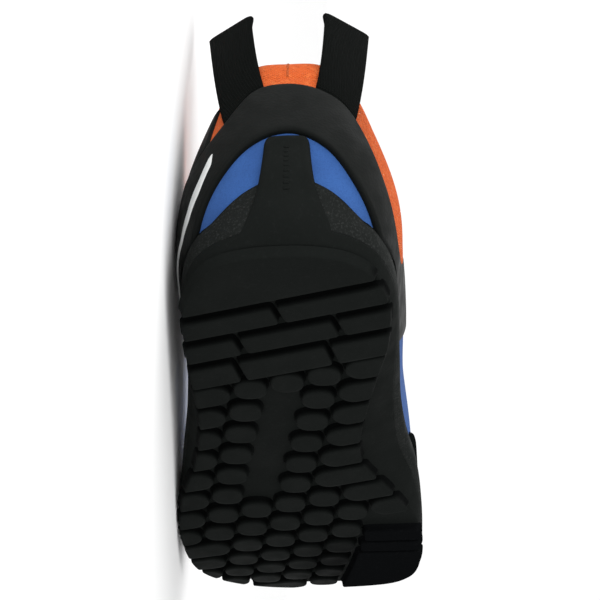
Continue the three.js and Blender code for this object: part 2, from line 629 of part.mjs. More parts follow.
// The tongue lies under the facings. Above the top eyelets it stands free and leans back.
const TONGUE_FREE = [
  { back: 0.03, up: 0.05, wide: 0.9 },
  { back: 0.062, up: 0.125, wide: 0.88 },
  { back: 0.085, up: 0.215, wide: 0.78 },
];
function tongue() {
  const inside = -UPPER_WALL - 2 * LAYER_GAP;
  const section = (u, wing) => {
    const other = RIBS - u;
    const [left, right] = [offSkin(u, 1, inside), offSkin(other, 1, inside)];
    const middle = plus(mixPoint(left, right, 0.5), [0, 0, 1], 0.02 * BALL_WIDTH);
    return [offSkin(u, wing, inside), left, middle, right, offSkin(other, wing, inside)];
  };
  const closed = (top) => [...top, ...top.map((p) => plus(p, [0, 0, -1], TONGUE)).reverse()];
  const wing = (u) => (u < (FACINGS_START + 1) * STEP ? 0.93 : 0.84);
  const under = stations(FACINGS_START, FACINGS_END).reverse().map((u) => section(u, wing(u)));
  const last = under[under.length - 1];
  const middle = last[2];
  const free = TONGUE_FREE.map(({ back, up, wide }) =>
    last.map((p) => {
      const [x, y, z] = plus(middle, minus(p, middle), wide);
      return [x, y - back * LENGTH, z + up * INSTEP_HEIGHT];
    }),
  );
  return shell([...under, ...free].map(closed), false);
}

// Eyelets: pairs along the facings, at stations of the upper
const EYELET_FIRST = 13.4;
const EYELET_LAST = 20.6;
const EYELET_V = 0.925;
const eyeletPlaces = range(EYELET_PAIRS).flatMap((i) => {
  const u = mix(EYELET_FIRST, EYELET_LAST, i / (EYELET_PAIRS - 1)) * STEP;
  return [u, RIBS - u];
});

function circle(u, radius, off, sides) {
  const centre = offSkin(u, EYELET_V, off);
  const normal = unit(minus(offSkin(u, EYELET_V, off + 1), centre));
  const along = unit(cross(normal, [0, 0, 1]));
  const across = cross(normal, along);
  return range(sides).map((i) => {
    const angle = (2 * Math.PI * i) / sides;
    return plus(plus(centre, along, radius * Math.cos(angle)), across, radius * Math.sin(angle));
  });
}
function eyeletHoles() {
  const reach = UPPER_WALL + 2;
  return eyeletPlaces.map((u) => prism(circle(u, EYELET_HOLE / 2, -reach, 8), circle(u, EYELET_HOLE / 2, reach, 8)));
}
function eyelet(u) {
  const low = LAYER_GAP + OVERLAY + LAYER_GAP;
  const [inner, outer] = [EYELET_HOLE / 2, EYELET_HOLE / 2 + EYELET_RING];
  const rings = [circle(u, inner, low, 8), circle(u, outer, low, 8), circle(u, outer, low + 1, 8),
    circle(u, inner, low + 1, 8)];
  return shell(range(8).map((i) => rings.map((points) => points[i])), true);
}
function eyestay(side) {
  const places = stations(FACINGS_START, FACINGS_END).map((u) => (side < 0 ? u : RIBS - u));
  let body = overlay(places, () => 0.83, () => 1, 3);
  for (const hole of eyeletHoles()) body = body.subtract(hole);
  return body;
}

// A rod of round section along a few points
function rod(points, radius, sides = 8) {
  const sections = points.map((p, i) => {
    const along = unit(minus(points[Math.min(i + 1, points.length - 1)], points[Math.max(i - 1, 0)]));
    const side = unit(cross(along, [0, 0, 1]));
    const up = cross(side, along);
    return range(sides).map((k) => {
      const angle = (2 * Math.PI * (k + 0.5)) / sides;
      return plus(plus(p, side, radius * Math.cos(angle)), up, radius * Math.sin(angle));
    });
  });
  return shell(sections, false);
}

// The lace's crossings over the tongue, joined where they turn beside the eyelets
function lace() {
  const turn = (u) => {
    const high = LAYER_GAP + OVERLAY + LACE / 2 + 0.6;
    const beside = offSkin(u, EYELET_V, high);
    const toThroat = unit(minus(offSkin(u, 1, high), beside));
    return plus(beside, toThroat, EYELET_HOLE / 2 + EYELET_RING + GAP + LACE / 2);
  };
  const over = (a, b) => {
    const middle = plus(mixPoint(a, b, 0.5), [0, 0, 1], 0.014 * BALL_WIDTH);
    return rod([a, middle, b], LACE / 2, 6);
  };
  const lateral = range(EYELET_PAIRS).map((i) => turn(eyeletPlaces[2 * i]));
  const medial = range(EYELET_PAIRS).map((i) => turn(eyeletPlaces[2 * i + 1]));
  let body = over(lateral[EYELET_PAIRS - 1], medial[EYELET_PAIRS - 1]);
  for (const i of range(EYELET_PAIRS - 1))
    body = body.add(over(lateral[i], medial[i + 1])).add(over(medial[i], lateral[i + 1]));
  return body;
}

// A pull loop: webbing that rises along the back of the collar, stands above it as a doubled strap and ends on top
// of the collar's roll. Its path is given in the plane across the collar, out from the upper's edge and up from it.
const LOOP_RIB = 1.45; // its place on each side of the heel
const LOOP_SPLAY = 0.27; // how far it leans away from the heel, for each millimetre up
const LOOP_OFF = 2.6; // room for the ankle panel under its outer leg
const LOOP_FOOT = 10; // its outer leg below the upper's edge
const LOOP_TURN = 0.17; // how far it is turned outward about its own height, in radians
const LOOP_SLANT = 2.5; // its foot's outer corner lower and inner corner higher, along the band
function pullLoop(side) {
  const u = side * LOOP_RIB;
  const edge = skin(u, 1);
  const away = outward(u);
  const out = unit([away[0] + side * LOOP_TURN * away[1], away[1] - side * LOOP_TURN * away[0], 0]);
  const along = [-out[1], out[0], 0];
  const top = COLLAR_HEIGHT + LOOP_RISE - edge[2];
  const pad = UPPER_WALL + LAYER_GAP + PAD;
  const crown = ROLL + 2;
  // A path of places off the upper's edge and above it. slant lowers a strap's outer corner and lifts its inner one.
  const strap = (path) => {
    const sections = path.map(([off, rise, slant = 0], i) => {
      const next = path[Math.min(i + 1, path.length - 1)];
      const last = path[Math.max(i - 1, 0)];
      const length = Math.hypot(next[0] - last[0], next[1] - last[1]);
      const normal = [(next[1] - last[1]) / length, (last[0] - next[0]) / length];
      const corner = (k, end) => {
        const drift = -side * Math.max(0, rise) * LOOP_SPLAY;
        const base = plus(edge, along, (end * WEBBING_WIDTH) / 2 + drift);
        const face = (k * WEBBING) / 2;
        return plus(plus(base, out, off + face * normal[0]), [0, 0, 1], rise + side * end * slant + face * normal[1]);
      };
      return [corner(1, -1), corner(1, 1), corner(-1, 1), corner(-1, -1)];
    });
    return shell(sections, false);
  };
  const foot = LOOP_OFF + WEBBING / 2;
  const low = skin(u, vAtHeight(u, edge[2] - LOOP_FOOT));
  const swell = dot(minus(low, edge), away);
  const outer = strap([
    [foot + swell, -LOOP_FOOT, LOOP_SLANT],
    [foot - 0.1, 0.55 * ROLL],
    [0.4 * foot, crown],
    [-0.3 * foot, mix(crown, top, 0.4)],
    [-0.56 * WEBBING, top],
  ]);
  const inner = strap([
    [-0.62 * pad, crown + 0.9 * WEBBING],
    [-0.4 * pad, crown + 0.35 * ROLL],
    [-0.26 * pad, mix(crown, top, 0.45)],
    [-1.5 * WEBBING, top],
  ]);
  return outer.add(inner);
}

// Materials, as the photograph shows them
const FINISHES = {
  rubber: { color: 0x1c1e1d, roughness: 0.75, metalness: 0 },
  black: { color: 0x191b1b, roughness: 0.65, metalness: 0 },
  blue: { color: 0x3e5fa0, roughness: 0.85, metalness: 0 },
  orange: { color: 0xd8692f, roughness: 0.9, metalness: 0 },
  webbing: { color: 0x141615, roughness: 0.9, metalness: 0 },
  metal: { color: 0x3a3c3e, roughness: 0.4, metalness: 0.8 },
};

function node(name, finish, body) {
  const { vertProperties, triVerts } = body.getMesh();
  const geometry = new THREE.BufferGeometry();
  geometry.setAttribute("position", new THREE.BufferAttribute(vertProperties, 3));
  geometry.setIndex(new THREE.BufferAttribute(triVerts, 1));
  const mesh = new THREE.Mesh(mergeVertices(geometry, 1e-4), new THREE.MeshStandardMaterial(FINISHES[finish]));
  mesh.name = name;
  return mesh;
}

const shoe = new THREE.Group();
shoe.add(
  node("outsole", "rubber", outsole()),
  node("midsole", "rubber", midsole()),
  node("insole", "orange", insole()),
  node("upper", "blue", upper()),
  node("toe_rand", "rubber", toeRand()),
  node("heel_band", "black", heelBand()),
  node("side_panel_lateral", "black", sidePanel()),
  node("ankle_panel", "orange", anklePanel()),
  node("collar", "orange", collar()),
  node("tongue", "orange", tongue()),
  node("pull_loop_lateral", "webbing", pullLoop(1)),
  node("pull_loop_medial", "webbing", pullLoop(-1)),
  node("eyestay_lateral", "black", eyestay(-1)),
  node("eyestay_medial", "black", eyestay(1)),
  node("lace", "webbing", lace()),
);
range(EYELET_PAIRS).forEach((i) => {
  shoe.add(node(`eyelet_lateral_${i + 1}`, "metal", eyelet(eyeletPlaces[2 * i])));
  shoe.add(node(`eyelet_medial_${i + 1}`, "metal", eyelet(eyeletPlaces[2 * i + 1])));
});

// How the shoe lies: on the plane under it, at the lateral side, that carries its middle of volume
function restingPlane(points, centre) {
  const near = points.filter(([x]) => x < -0.2 * BALL_WIDTH);
  const height = (a, b) =>
    near.reduce((low, [x, y, z]) => Math.min(low, x - a * (y - centre[1]) - b * (z - centre[2])), Infinity);
  const steepest = 0.4;
  const search = (value) => {
    let [low, high] = [-steepest, steepest];
    for (const _ of range(34)) {
      const [p, q] = [mix(low, high, 0.4), mix(low, high, 0.6)];
      if (value(p) < value(q)) low = p;
      else high = q;
    }
    return (low + high) / 2;
  };
  const bestB = (a) => search((b) => height(a, b));
  const a = search((slope) => height(slope, bestB(slope)));
  return unit([1, -a, -bestB(a)]);
}

function layOnSide(group) {
  const points = [];
  const sum = [0, 0, 0];
  let volume = 0;
  for (const { geometry } of group.children) {
    const start = points.length;
    const { array } = geometry.getAttribute("position");
    for (let i = 0; i < array.length; i += 3) points.push([...array.subarray(i, i + 3)]);
    for (let i = 0; i < geometry.index.count; i += 3) {
      const [p, q, r] = [0, 1, 2].map((k) => points[start + geometry.index.array[i + k]]);
      const piece = dot(p, cross(q, r)) / 6;
      volume += piece;
      for (const k of range(3)) sum[k] += (piece * (p[k] + q[k] + r[k])) / 4;
    }
  }
  const up = restingPlane(points, sum.map((a) => a / volume));
  const forward = unit(plus([0, 1, 0], up, -up[1]));
  const side = cross(forward, up);
  const turn = new THREE.Matrix4().makeBasis(...[side, forward, up].map((p) => new THREE.Vector3(...p))).transpose();
  const laid = new THREE.Box3().setFromPoints(points.map((p) => new THREE.Vector3(...p).applyMatrix4(turn)));
  const middle = laid.getCenter(new THREE.Vector3());
  group.quaternion.setFromRotationMatrix(turn);
  group.position.set(-middle.x, -middle.y, -laid.min.z);
}
layOnSide(shoe);

const part = new THREE.Group();
part.add(shoe);
export default part;
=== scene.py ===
# The looks of a left approach shoe that lies on its lateral side. Sizes are millimetres in the shoe's own frame,
# x to the medial side, y to the toe and z up from the tread. The function place() brings them into the row frame.
import json
import math

import bmesh
import bpy
import numpy as np
from mathutils import Matrix, Vector


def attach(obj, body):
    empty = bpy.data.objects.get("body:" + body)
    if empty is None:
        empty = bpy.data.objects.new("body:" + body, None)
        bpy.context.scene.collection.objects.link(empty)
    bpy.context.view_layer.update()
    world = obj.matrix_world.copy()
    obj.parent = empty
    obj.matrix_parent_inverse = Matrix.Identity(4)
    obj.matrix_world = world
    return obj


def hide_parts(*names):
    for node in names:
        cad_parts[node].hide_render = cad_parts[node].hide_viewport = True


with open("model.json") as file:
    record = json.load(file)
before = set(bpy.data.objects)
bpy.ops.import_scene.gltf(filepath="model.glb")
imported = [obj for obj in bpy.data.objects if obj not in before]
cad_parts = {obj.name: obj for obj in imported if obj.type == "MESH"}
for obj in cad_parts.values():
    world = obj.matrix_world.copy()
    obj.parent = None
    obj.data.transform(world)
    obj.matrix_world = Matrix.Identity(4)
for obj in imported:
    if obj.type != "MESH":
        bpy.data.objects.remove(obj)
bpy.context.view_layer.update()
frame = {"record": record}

# Driving sizes, the same as the part's
LENGTH = 285.0
HEEL_WIDTH = 77.0
BALL_WIDTH = 106.0
COLLAR_HEIGHT = 97.0
INSTEP_HEIGHT = 95.0
HEEL_STACK = 17.0
FORE_STACK = 15.0
OUTSOLE_STACK = 9.0
TOE_SPRING = 14.0
GAP = 0.3
LAYER_GAP = 0.5
LUG_DEPTH = 3.5
LUG_PITCH = 15.4
LUG_WIDTH = 12.4
LUG_LENGTH = 11.4
LUG_COLUMN = 15.6
GROOVE = 5.0
SLANT = -0.27
LEAN = -0.21
UPPER_WALL = 2.0
CUP_WALL = 3.0
OVERLAY = 1.6
PAD = 9.0
ROLL = 12.0
TONGUE = 4.0
INSOLE = 4.0
WEBBING_WIDTH = 22.0
WEBBING = 1.6
LOOP_RISE = 29.0
LACE = 4.2
EYELET_PAIRS = 5
EYELET_HOLE = 5.0
EYELET_RING = 2.0
RIB_HEIGHT = 52.0
RIB_DEPTH = 3.0
RIM_EDGE = 1.6
SPRING_START = 0.68 * LENGTH

# One row for each rib from heel to toe: wall y, out, in; tread y, out, in; fore. Shares as in the part.
SOLE_ROWS = np.array([
    (0, -0.032, 0.032, 0.026, -0.01, 0.01, 0),
    (0.01, 0.165, 0.225, 0.03, 0.17, 0.17, 0),
    (0.034, 0.325, 0.37, 0.045, 0.32, 0.32, 0),
    (0.072, 0.44, 0.472, 0.078, 0.415, 0.43, 0),
    (0.14, 0.513, 0.54, 0.14, 0.5, 0.503, 0),
    (0.228, 0.532, 0.552, 0.228, 0.519, 0.494, 0),
    (0.323, 0.522, 0.532, 0.323, 0.494, 0.407, 0.1),
    (0.421, 0.51, 0.49, 0.421, 0.45, 0.313, 0.35),
    (0.519, 0.506, 0.469, 0.519, 0.456, 0.273, 0.65),
    (0.614, 0.515, 0.487, 0.614, 0.508, 0.379, 0.85),
    (0.709, 0.528, 0.485, 0.709, 0.521, 0.46, 1),
    (0.8, 0.524, 0.49, 0.8, 0.515, 0.478, 1),
    (0.877, 0.481, 0.485, 0.877, 0.474, 0.472, 1),
    (0.938, 0.375, 0.44, 0.937, 0.366, 0.432, 1),
    (0.983, 0.195, 0.335, 0.981, 0.187, 0.325, 1),
    (1, -0.08, 0.08, 0.997, -0.08, 0.08, 1),
])
# The same ribs: top edge y, out, in, tall; round, bulge out, in, rim
TOP_ROWS = np.array([
    (0.032, -0.032, 0.032, 0.907, 0, 0.05, 0.05, 0.88),
    (0.036, 0.125, 0.19, 0.907, 0, 0.05, 0.05, 0.62),
    (0.053, 0.235, 0.295, 0.896, 0, 0.06, 0.06, 0.2),
    (0.084, 0.32, 0.38, 0.866, 0.02, 0.07, 0.07, 0.07),
    (0.14, 0.4, 0.465, 0.794, 0.1, 0.07, 0.07, 0.14),
    (0.218, 0.455, 0.525, 0.742, 0.2, 0.06, 0.05, 0.2),
    (0.302, 0.45, 0.515, 0.775, 0.3, 0.055, 0.06, 0.21),
    (0.37, 0.36, 0.42, 0.861, 0.45, 0.05, 0.075, 0.21),
    (0.422, 0.22, 0.255, 0.961, 0.6, 0.035, 0.07, 0.22),
    (0.498, 0.17, 0.19, 0.902, 0.72, 0.028, 0.045, 0.25),
    (0.579, 0.145, 0.16, 0.8, 0.82, 0.022, 0.022, 0.27),
    (0.656, 0.125, 0.135, 0.7, 0.9, 0.018, 0.018, 0.27),
    (0.714, 0.1, 0.108, 0.625, 0.95, 0.012, 0.012, 0.27),
    (0.743, 0.072, 0.078, 0.588, 1, 0.01, 0.01, 0.27),
    (0.756, 0.038, 0.042, 0.572, 1, 0.01, 0.01, 0.27),
    (0.76, -0.002, 0.002, 0.566, 1, 0.01, 0.01, 0.27),
])
TALL = np.array([0, 0, 1.0])
TOE = len(SOLE_ROWS) - 1
RIBS = 2 * TOE
STATIONS = 48  # places round the shoe where its overlays start and end
STEP = RIBS / STATIONS

# The shoe's frame in the row frame, from the flat end lug of its heel: a point of it and the way the tread faces
TREAD = frame["record"]["mounts"][0]
TREAD_POINT_Y = 20.0
UP = -Vector(TREAD["axis"]).normalized()
FORWARD = Vector((0, abs(UP.z), UP.y)).normalized()
SIDE = FORWARD.cross(UP)
ORIGIN = Vector(TREAD["pos_m"]) - FORWARD * TREAD_POINT_Y / 1000
AXES = np.array([SIDE, FORWARD, UP]) / 1000


def place(points):
    """Points of the shoe's frame in the row frame, in metres."""
    return np.asarray(points, float) @ AXES + np.array(ORIGIN)


def smooth(t):
    t = np.clip(t, 0, 1)
    return t * t * (3 - 2 * t)


def mix(a, b, t):
    return a + (b - a) * t


def loop_of(rows, out, into=None):
    """A column's values round the shoe. With two columns, sideways places on the lateral and the medial side."""
    k = np.arange(RIBS)
    rib = np.where(k <= TOE, k, RIBS - k)
    lateral = (k > 0) & (k < TOE)
    if into is None:
        return rows[rib, out]
    return np.where(lateral, -rows[rib, out], rows[rib, into])


def spline(a, b, c, d, t):
    """A smooth curve from b to c whose neighbours are a and d."""
    return b + 0.5 * t * (c - a + t * (2 * a - 5 * b + 4 * c - d + t * (3 * (b - c) + d - a)))


LOOPS = {name: loop_of(rows, *columns) for name, rows, *columns in (
    ("wallY", SOLE_ROWS, 0), ("wallX", SOLE_ROWS, 1, 2), ("treadY", SOLE_ROWS, 3), ("treadX", SOLE_ROWS, 4, 5),
    ("fore", SOLE_ROWS, 6), ("topY", TOP_ROWS, 0), ("topX", TOP_ROWS, 1, 2), ("tall", TOP_ROWS, 3),
    ("round", TOP_ROWS, 4), ("bulge", TOP_ROWS, 5, 6), ("rim", TOP_ROWS, 7))}
LOOPS["bulge"] = np.abs(LOOPS["bulge"])


def at(name, u):
    """The smooth value of a loop at places u, in ribs from the heel by the lateral side to the toe and back."""
    u = np.asarray(u, float)
    i = np.floor(u).astype(int)
    return spline(*(LOOPS[name][(i + k) % RIBS] for k in (-1, 0, 1, 2)), u - i)


def width_at(u):
    return mix(HEEL_WIDTH, BALL_WIDTH, at("fore", u))


def spring(y):
    return TOE_SPRING * np.maximum(0, (y - SPRING_START) / (LENGTH - SPRING_START)) ** 2


def bed(y):
    return spring(y) + mix(HEEL_STACK, FORE_STACK, smooth((y / LENGTH - 0.2) / 0.5))


def outline(name, u):
    return np.stack([at(name + "X", u) * width_at(u), at(name + "Y", u) * LENGTH], -1)


def wall(u):
    return outline("wall", u)


def tread(u):
    return outline("tread", u)


def unit(p):
    return p / np.linalg.norm(p, axis=-1, keepdims=True)


def outward(u):
    a, b = wall(np.asarray(u) - 0.02), wall(np.asarray(u) + 0.02)
    return unit(np.stack([a[..., 1] - b[..., 1], b[..., 0] - a[..., 0], 0 * a[..., 0]], -1))


def rim_height(u):
    return bed(wall(u)[..., 1]) + at("rim", u) * HEEL_STACK


def skin(u, v):
    """The upper's outer surface, v from 0 on the bed to 1 at the top edge."""
    u, v = np.broadcast_arrays(u, v)
    away = outward(u)
    foot = wall(u) - away[..., :2] * (CUP_WALL + GAP)
    foot_z = bed(foot[..., 1]) + GAP
    tall = mix(COLLAR_HEIGHT, INSTEP_HEIGHT, at("fore", u))
    round_ = at("round", u)
    angle = math.pi / 2 * v
    inward = mix(v, 1 - np.cos(angle), round_)
    upward = mix(v, np.sin(angle), round_)
    belly = at("bulge", u) * width_at(u) * np.sin(math.pi * np.clip(v, 0, 1) ** 0.85)
    x = mix(foot[..., 0], at("topX", u) * width_at(u), inward)
    y = mix(foot[..., 1], at("topY", u) * LENGTH, inward)
    z = mix(foot_z, at("tall", u) * tall, upward)
    return np.stack([x, y, z], -1) + away * belly[..., None]


def skin_normal(u, v):
    step = 0.01
    along = skin(u + step, v) - skin(u - step, v)
    lift = skin(u, np.minimum(v + step, 1)) - skin(u, np.maximum(v - step, 0))
    return unit(np.cross(lift, along))


def off_skin(u, v, off):
    """Points some millimetres outside the upper, or inside it."""
    u, v, off = np.broadcast_arrays(u, v, off)
    return skin(u, v) + skin_normal(u, v) * off[..., None]


def v_at_height(u, height):
    u, height = np.broadcast_arrays(u, height)
    low, high = np.zeros(u.shape), np.ones(u.shape)
    for _ in range(24):
        middle = (low + high) / 2
        under = skin(u, middle)[..., 2] < height
        low = np.where(under, middle, low)
        high = np.where(under, high, middle)
    return (low + high) / 2


def add(name, data):
    """A new object in the scene."""
    obj = bpy.data.objects.new(name, data)
    bpy.context.scene.collection.objects.link(obj)
    return obj


# Meshes from grids
def make_object(name, vertices, faces, finish, uvs=None, depth=None):
    mesh = bpy.data.meshes.new(name)
    mesh.from_pydata(place(vertices).tolist(), [], faces)
    # depth: a painted shade for each point, read by the outsole's material
    if depth is not None:
        mesh.attributes.new("depth", "FLOAT", "POINT").data.foreach_set("value", np.asarray(depth, float).ravel())
    if uvs is not None:
        layer = mesh.uv_layers.new(name="UVMap")
        index = np.zeros(len(mesh.loops), int)
        mesh.loops.foreach_get("vertex_index", index)
        layer.data.foreach_set("uv", np.asarray(uvs, float)[index].ravel())
    mesh.polygons.foreach_set("use_smooth", [True] * len(mesh.polygons))
    mesh.materials.append(finish.material)
    bm = bmesh.new()
    bm.from_mesh(mesh)
    bmesh.ops.remove_doubles(bm, verts=bm.verts, dist=1e-6)
    bmesh.ops.recalc_face_normals(bm, faces=bm.faces)
    bm.to_mesh(mesh)
    bm.free()
    return add(name, mesh)


def grid_faces(rows, columns, closed=False):
    """Faces between closed rows of points, one after the other."""
    i, j = np.meshgrid(np.arange(rows if closed else rows - 1), np.arange(columns), indexing="ij")
    i2, j2 = (i + 1) % rows, (j + 1) % columns
    corners = [i * columns + j, i * columns + j2, i2 * columns + j2, i2 * columns + j]
    return np.stack(corners, -1).reshape(-1, 4).tolist()


def capped(sections):
    """The points and faces of closed sections with a flat end at each side."""
    count = sections.shape[1]
    ends = [list(range(first, first + count)) for first in (0, (len(sections) - 1) * count)]
    return sections.reshape(-1, 3), grid_faces(len(sections), count) + ends


def join(parts):
    """The points and faces of several parts in one."""
    vertices, faces, start = [], [], 0
    for points, own, *_ in parts:
        vertices.append(points)
        faces.extend([[start + k for k in face] for face in own])
        start += len(points)
    return np.vstack(vertices), faces


def turns(count):
    """Even angles round a circle."""
    return np.arange(count) * 2 * math.pi / count


def tube(path, wide, tall, sides=14):
    """Oval sections along a path."""
    along = unit(np.gradient(path, axis=0))
    side = unit(np.cross(along, [0, 0.25, 1.0]))
    up = np.cross(side, along)
    angles = turns(sides)[:, None]
    return path[:, None] + side[:, None] * wide * np.cos(angles) + up[:, None] * tall * np.sin(angles)


def grid_uvs(sections):
    """Lengths along and across a grid, in tenths of a metre."""
    along = np.zeros(len(sections))
    along[1:] = np.cumsum(np.linalg.norm(np.diff(sections, axis=0), axis=-1).mean(1))
    across = np.zeros(sections.shape[:2])
    across[:, 1:] = np.cumsum(np.linalg.norm(np.diff(sections, axis=1), axis=-1), axis=1)
    return np.stack([np.broadcast_to(along[:, None], across.shape), across], -1).reshape(-1, 2) / 100


def shell(name, sections, finish, closed=False):
    """Closed sections joined one after the other. Open ends are closed by rungs between the two halves."""
    count, points = sections.shape[:2]
    faces = grid_faces(count, points, closed)
    if not closed:
        for start in (0, (count - 1) * points):
            for k in range(points // 2 - 1):
                faces.append([start + r for r in (k, k + 1, points - 2 - k, points - 1 - k)])
    return make_object(name, sections.reshape(-1, 3), faces, finish, grid_uvs(sections))


def stack(name, rings, finish, depth=None):
    """Rings round the shoe, one above the other, closed by rungs from side to side."""
    rings = np.asarray(rings)
    count, points = rings.shape[:2]
    faces = grid_faces(count, points)
    for start in (0, (count - 1) * points):
        for k in range(points // 2):
            rung = dict.fromkeys([k, k + 1, points - k - 1, (points - k) % points])
            faces.append([start + r for r in rung])
    uvs = grid_uvs(rings.transpose(1, 0, 2)).reshape(points, count, 2).transpose(1, 0, 2).reshape(-1, 2)
    return make_object(name, rings.reshape(-1, 3), faces, finish, uvs, depth)


def refine(points, times, closed=False, axis=0):
    """More points on smooth curves through the given ones."""
    p = np.moveaxis(np.asarray(points, float), axis, 0)
    n = len(p)
    out = []
    for i in range(n if closed else n - 1):
        near = [p[(i + k) % n if closed else min(max(i + k, 0), n - 1)] for k in (-1, 0, 1, 2)]
        out += [spline(*near, s / times) for s in range(times)]
    if not closed:
        out.append(p[-1])
    return np.moveaxis(np.array(out), 0, axis)


# Materials. Colours are sRGB as they are seen, sizes in the nodes are in metres.
def linear(rgb):
    c = np.asarray(rgb, float) / 255
    return tuple(np.where(c <= 0.04045, c / 12.92, ((c + 0.055) / 1.055) ** 2.4)) + (1.0,)


class Finish:
    """A material whose colour, roughness and bump are built from a few procedural layers."""

    def __init__(self, name, rgb, roughness, coat=0.0, sheen=0.0, specular=0.5, metallic=0.0):
        self.material = bpy.data.materials.new(name)
        self.material.use_nodes = True
        self.nodes = self.material.node_tree.nodes
        self.link = self.material.node_tree.links.new
        self.shader = self.nodes["Principled BSDF"]
        for socket, value in (("Base Color", linear(rgb)), ("Roughness", roughness), ("Metallic", metallic),
                              ("Coat Weight", coat), ("Coat Roughness", 0.35), ("Sheen Weight", sheen),
                              ("Specular IOR Level", specular)):
            self.shader.inputs[socket].default_value = value
        self.rgb = linear(rgb)
        self.color = None
        self.normal = None
        self.coords = self.nodes.new("ShaderNodeTexCoord")

    def node(self, kind, **values):
        made = self.nodes.new(kind)
        for key, value in values.items():
            if hasattr(made, key):
                setattr(made, key, value)
            else:
                made.inputs[key.replace("_", " ")].default_value = value
        return made

    def texture(self, kind, size, stretch=(1, 1, 1), **values):
        move = self.node("ShaderNodeMapping")
        move.inputs["Scale"].default_value = [s / size for s in stretch]
        self.link(self.coords.outputs["Object"], move.inputs["Vector"])
        made = self.node(kind, Scale=1.0, **values)
        self.link(move.outputs[0], made.inputs["Vector"])
        return made.outputs[0]

    def noise(self, size, detail=3.0, rough=0.55, stretch=(1, 1, 1)):
        return self.texture("ShaderNodeTexNoise", size, stretch, Detail=detail, Roughness=rough)

    def attribute(self, name):
        return self.node("ShaderNodeAttribute", attribute_name=name).outputs["Fac"]

    def math(self, kind, a, b=None):
        made = self.node("ShaderNodeMath", operation=kind)
        self.link(a, made.inputs[0])
        if isinstance(b, float):
            made.inputs[1].default_value = b
        elif b is not None:
            self.link(b, made.inputs[1])
        return made.outputs[0]

    def uv(self, *sizes):
        """Whole turns of a wave along and across a strip, sizes in millimetres."""
        parts = self.node("ShaderNodeSeparateXYZ")
        self.link(self.coords.outputs["UV"], parts.inputs[0])
        return [self.math("MULTIPLY", parts.outputs[k], 200 * math.pi / size) for k, size in enumerate(sizes)]

    def range(self, value, low, high, to_low, to_high):
        made = self.node("ShaderNodeMapRange", From_Min=low, From_Max=high, To_Min=to_low, To_Max=to_high)
        self.link(value, made.inputs["Value"])
        return made.outputs[0]

    def tint(self, factor, rgb):
        """Mixes a colour over the one so far."""
        made = self.node("ShaderNodeMix", data_type="RGBA")
        self.link(factor, made.inputs[0])
        made.inputs[6].default_value = self.rgb
        if self.color:
            self.link(self.color, made.inputs[6])
        made.inputs[7].default_value = linear(rgb)
        self.color = made.outputs[2]
        self.link(self.color, self.shader.inputs["Base Color"])

    def polish(self, factor, low, high):
        self.link(self.range(factor, 0.35, 0.65, low, high), self.shader.inputs["Roughness"])

    def bump(self, height, depth):
        """Adds relief, depth in millimetres."""
        made = self.node("ShaderNodeBump", Strength=1.0, Distance=depth / 1000)
        self.link(height, made.inputs["Height"])
        if self.normal:
            self.link(self.normal, made.inputs["Normal"])
        self.normal = made.outputs[0]
        self.link(self.normal, self.shader.inputs["Normal"])


def rubber(name, rgb, roughness, grain, specular):
    f = Finish(name, rgb, roughness, specular=specular)
    f.bump(f.noise(0.0012, 4.0, 0.7), grain)
    f.bump(f.noise(0.02, 2.0), 0.35)
    f.polish(f.noise(0.011, 3.0), roughness - 0.1, roughness + 0.12)
    f.tint(f.range(f.noise(0.0016, 3.0, 0.7), 0.56, 0.75, 0, 0.3), [v + 14 for v in rgb])
    return f


def suede(name, rgb, deep):
    f = Finish(name, rgb, 0.85, sheen=0.04, specular=0.08)
    f.bump(f.noise(0.0007, 4.0, 0.7), 0.12)
    f.bump(f.noise(0.012, 2.0), 0.25)
    f.tint(f.range(f.noise(0.018, 3.0), 0.4, 0.72, 0, 0.45), deep)
    f.tint(f.range(f.noise(0.0006, 2.0, 0.7), 0.45, 0.7, 0, 0.4), deep)
    return f


def knit(name, rgb, deep, light):
    f = Finish(name, rgb, 0.9, sheen=0.04, specular=0.06)
    u, v = f.uv(1.5, 1.1)
    ribs = f.math("MULTIPLY", f.math("SINE", u), f.math("SINE", v))
    f.bump(ribs, 0.22)
    f.bump(f.noise(0.0012, 3.0, 0.7), 0.12)
    # Painted shade: darker in the hollows of the knit's relief
    f.tint(f.range(ribs, -0.2, -1.0, 0, 0.55), deep)
    f.tint(f.range(f.noise(0.0022, 2.0, 0.6), 0.52, 0.7, 0, 0.5), light)
    f.tint(f.range(f.noise(0.0014, 2.0, 0.6, (1.3, 1, 1)), 0.58, 0.72, 0, 0.6), deep)
    return f


def smooth_leather(name, rgb, roughness):
    f = Finish(name, rgb, roughness, coat=0.008, specular=0.045)
    f.bump(f.texture("ShaderNodeTexVoronoi", 0.0011), 0.05)
    f.bump(f.noise(0.016, 3.0), 0.3)
    f.polish(f.noise(0.01, 3.0), roughness - 0.08, roughness + 0.1)
    return f


def woven(name, rgb, light, along=1.6, across=2.4):
    f = Finish(name, rgb, 0.8, specular=0.02)
    u, v = f.uv(along, across)
    weave = f.math("MULTIPLY", f.math("SINE", f.math("ADD", u, v)), f.math("SINE", f.math("SUBTRACT", u, v)))
    f.bump(weave, 0.3)
    f.bump(f.noise(0.0006, 3.0, 0.7), 0.1)
    # Painted highlight: lighter on the crests of the weave's relief
    f.tint(f.range(weave, 0.1, 1.0, 0, 0.5), light)
    return f


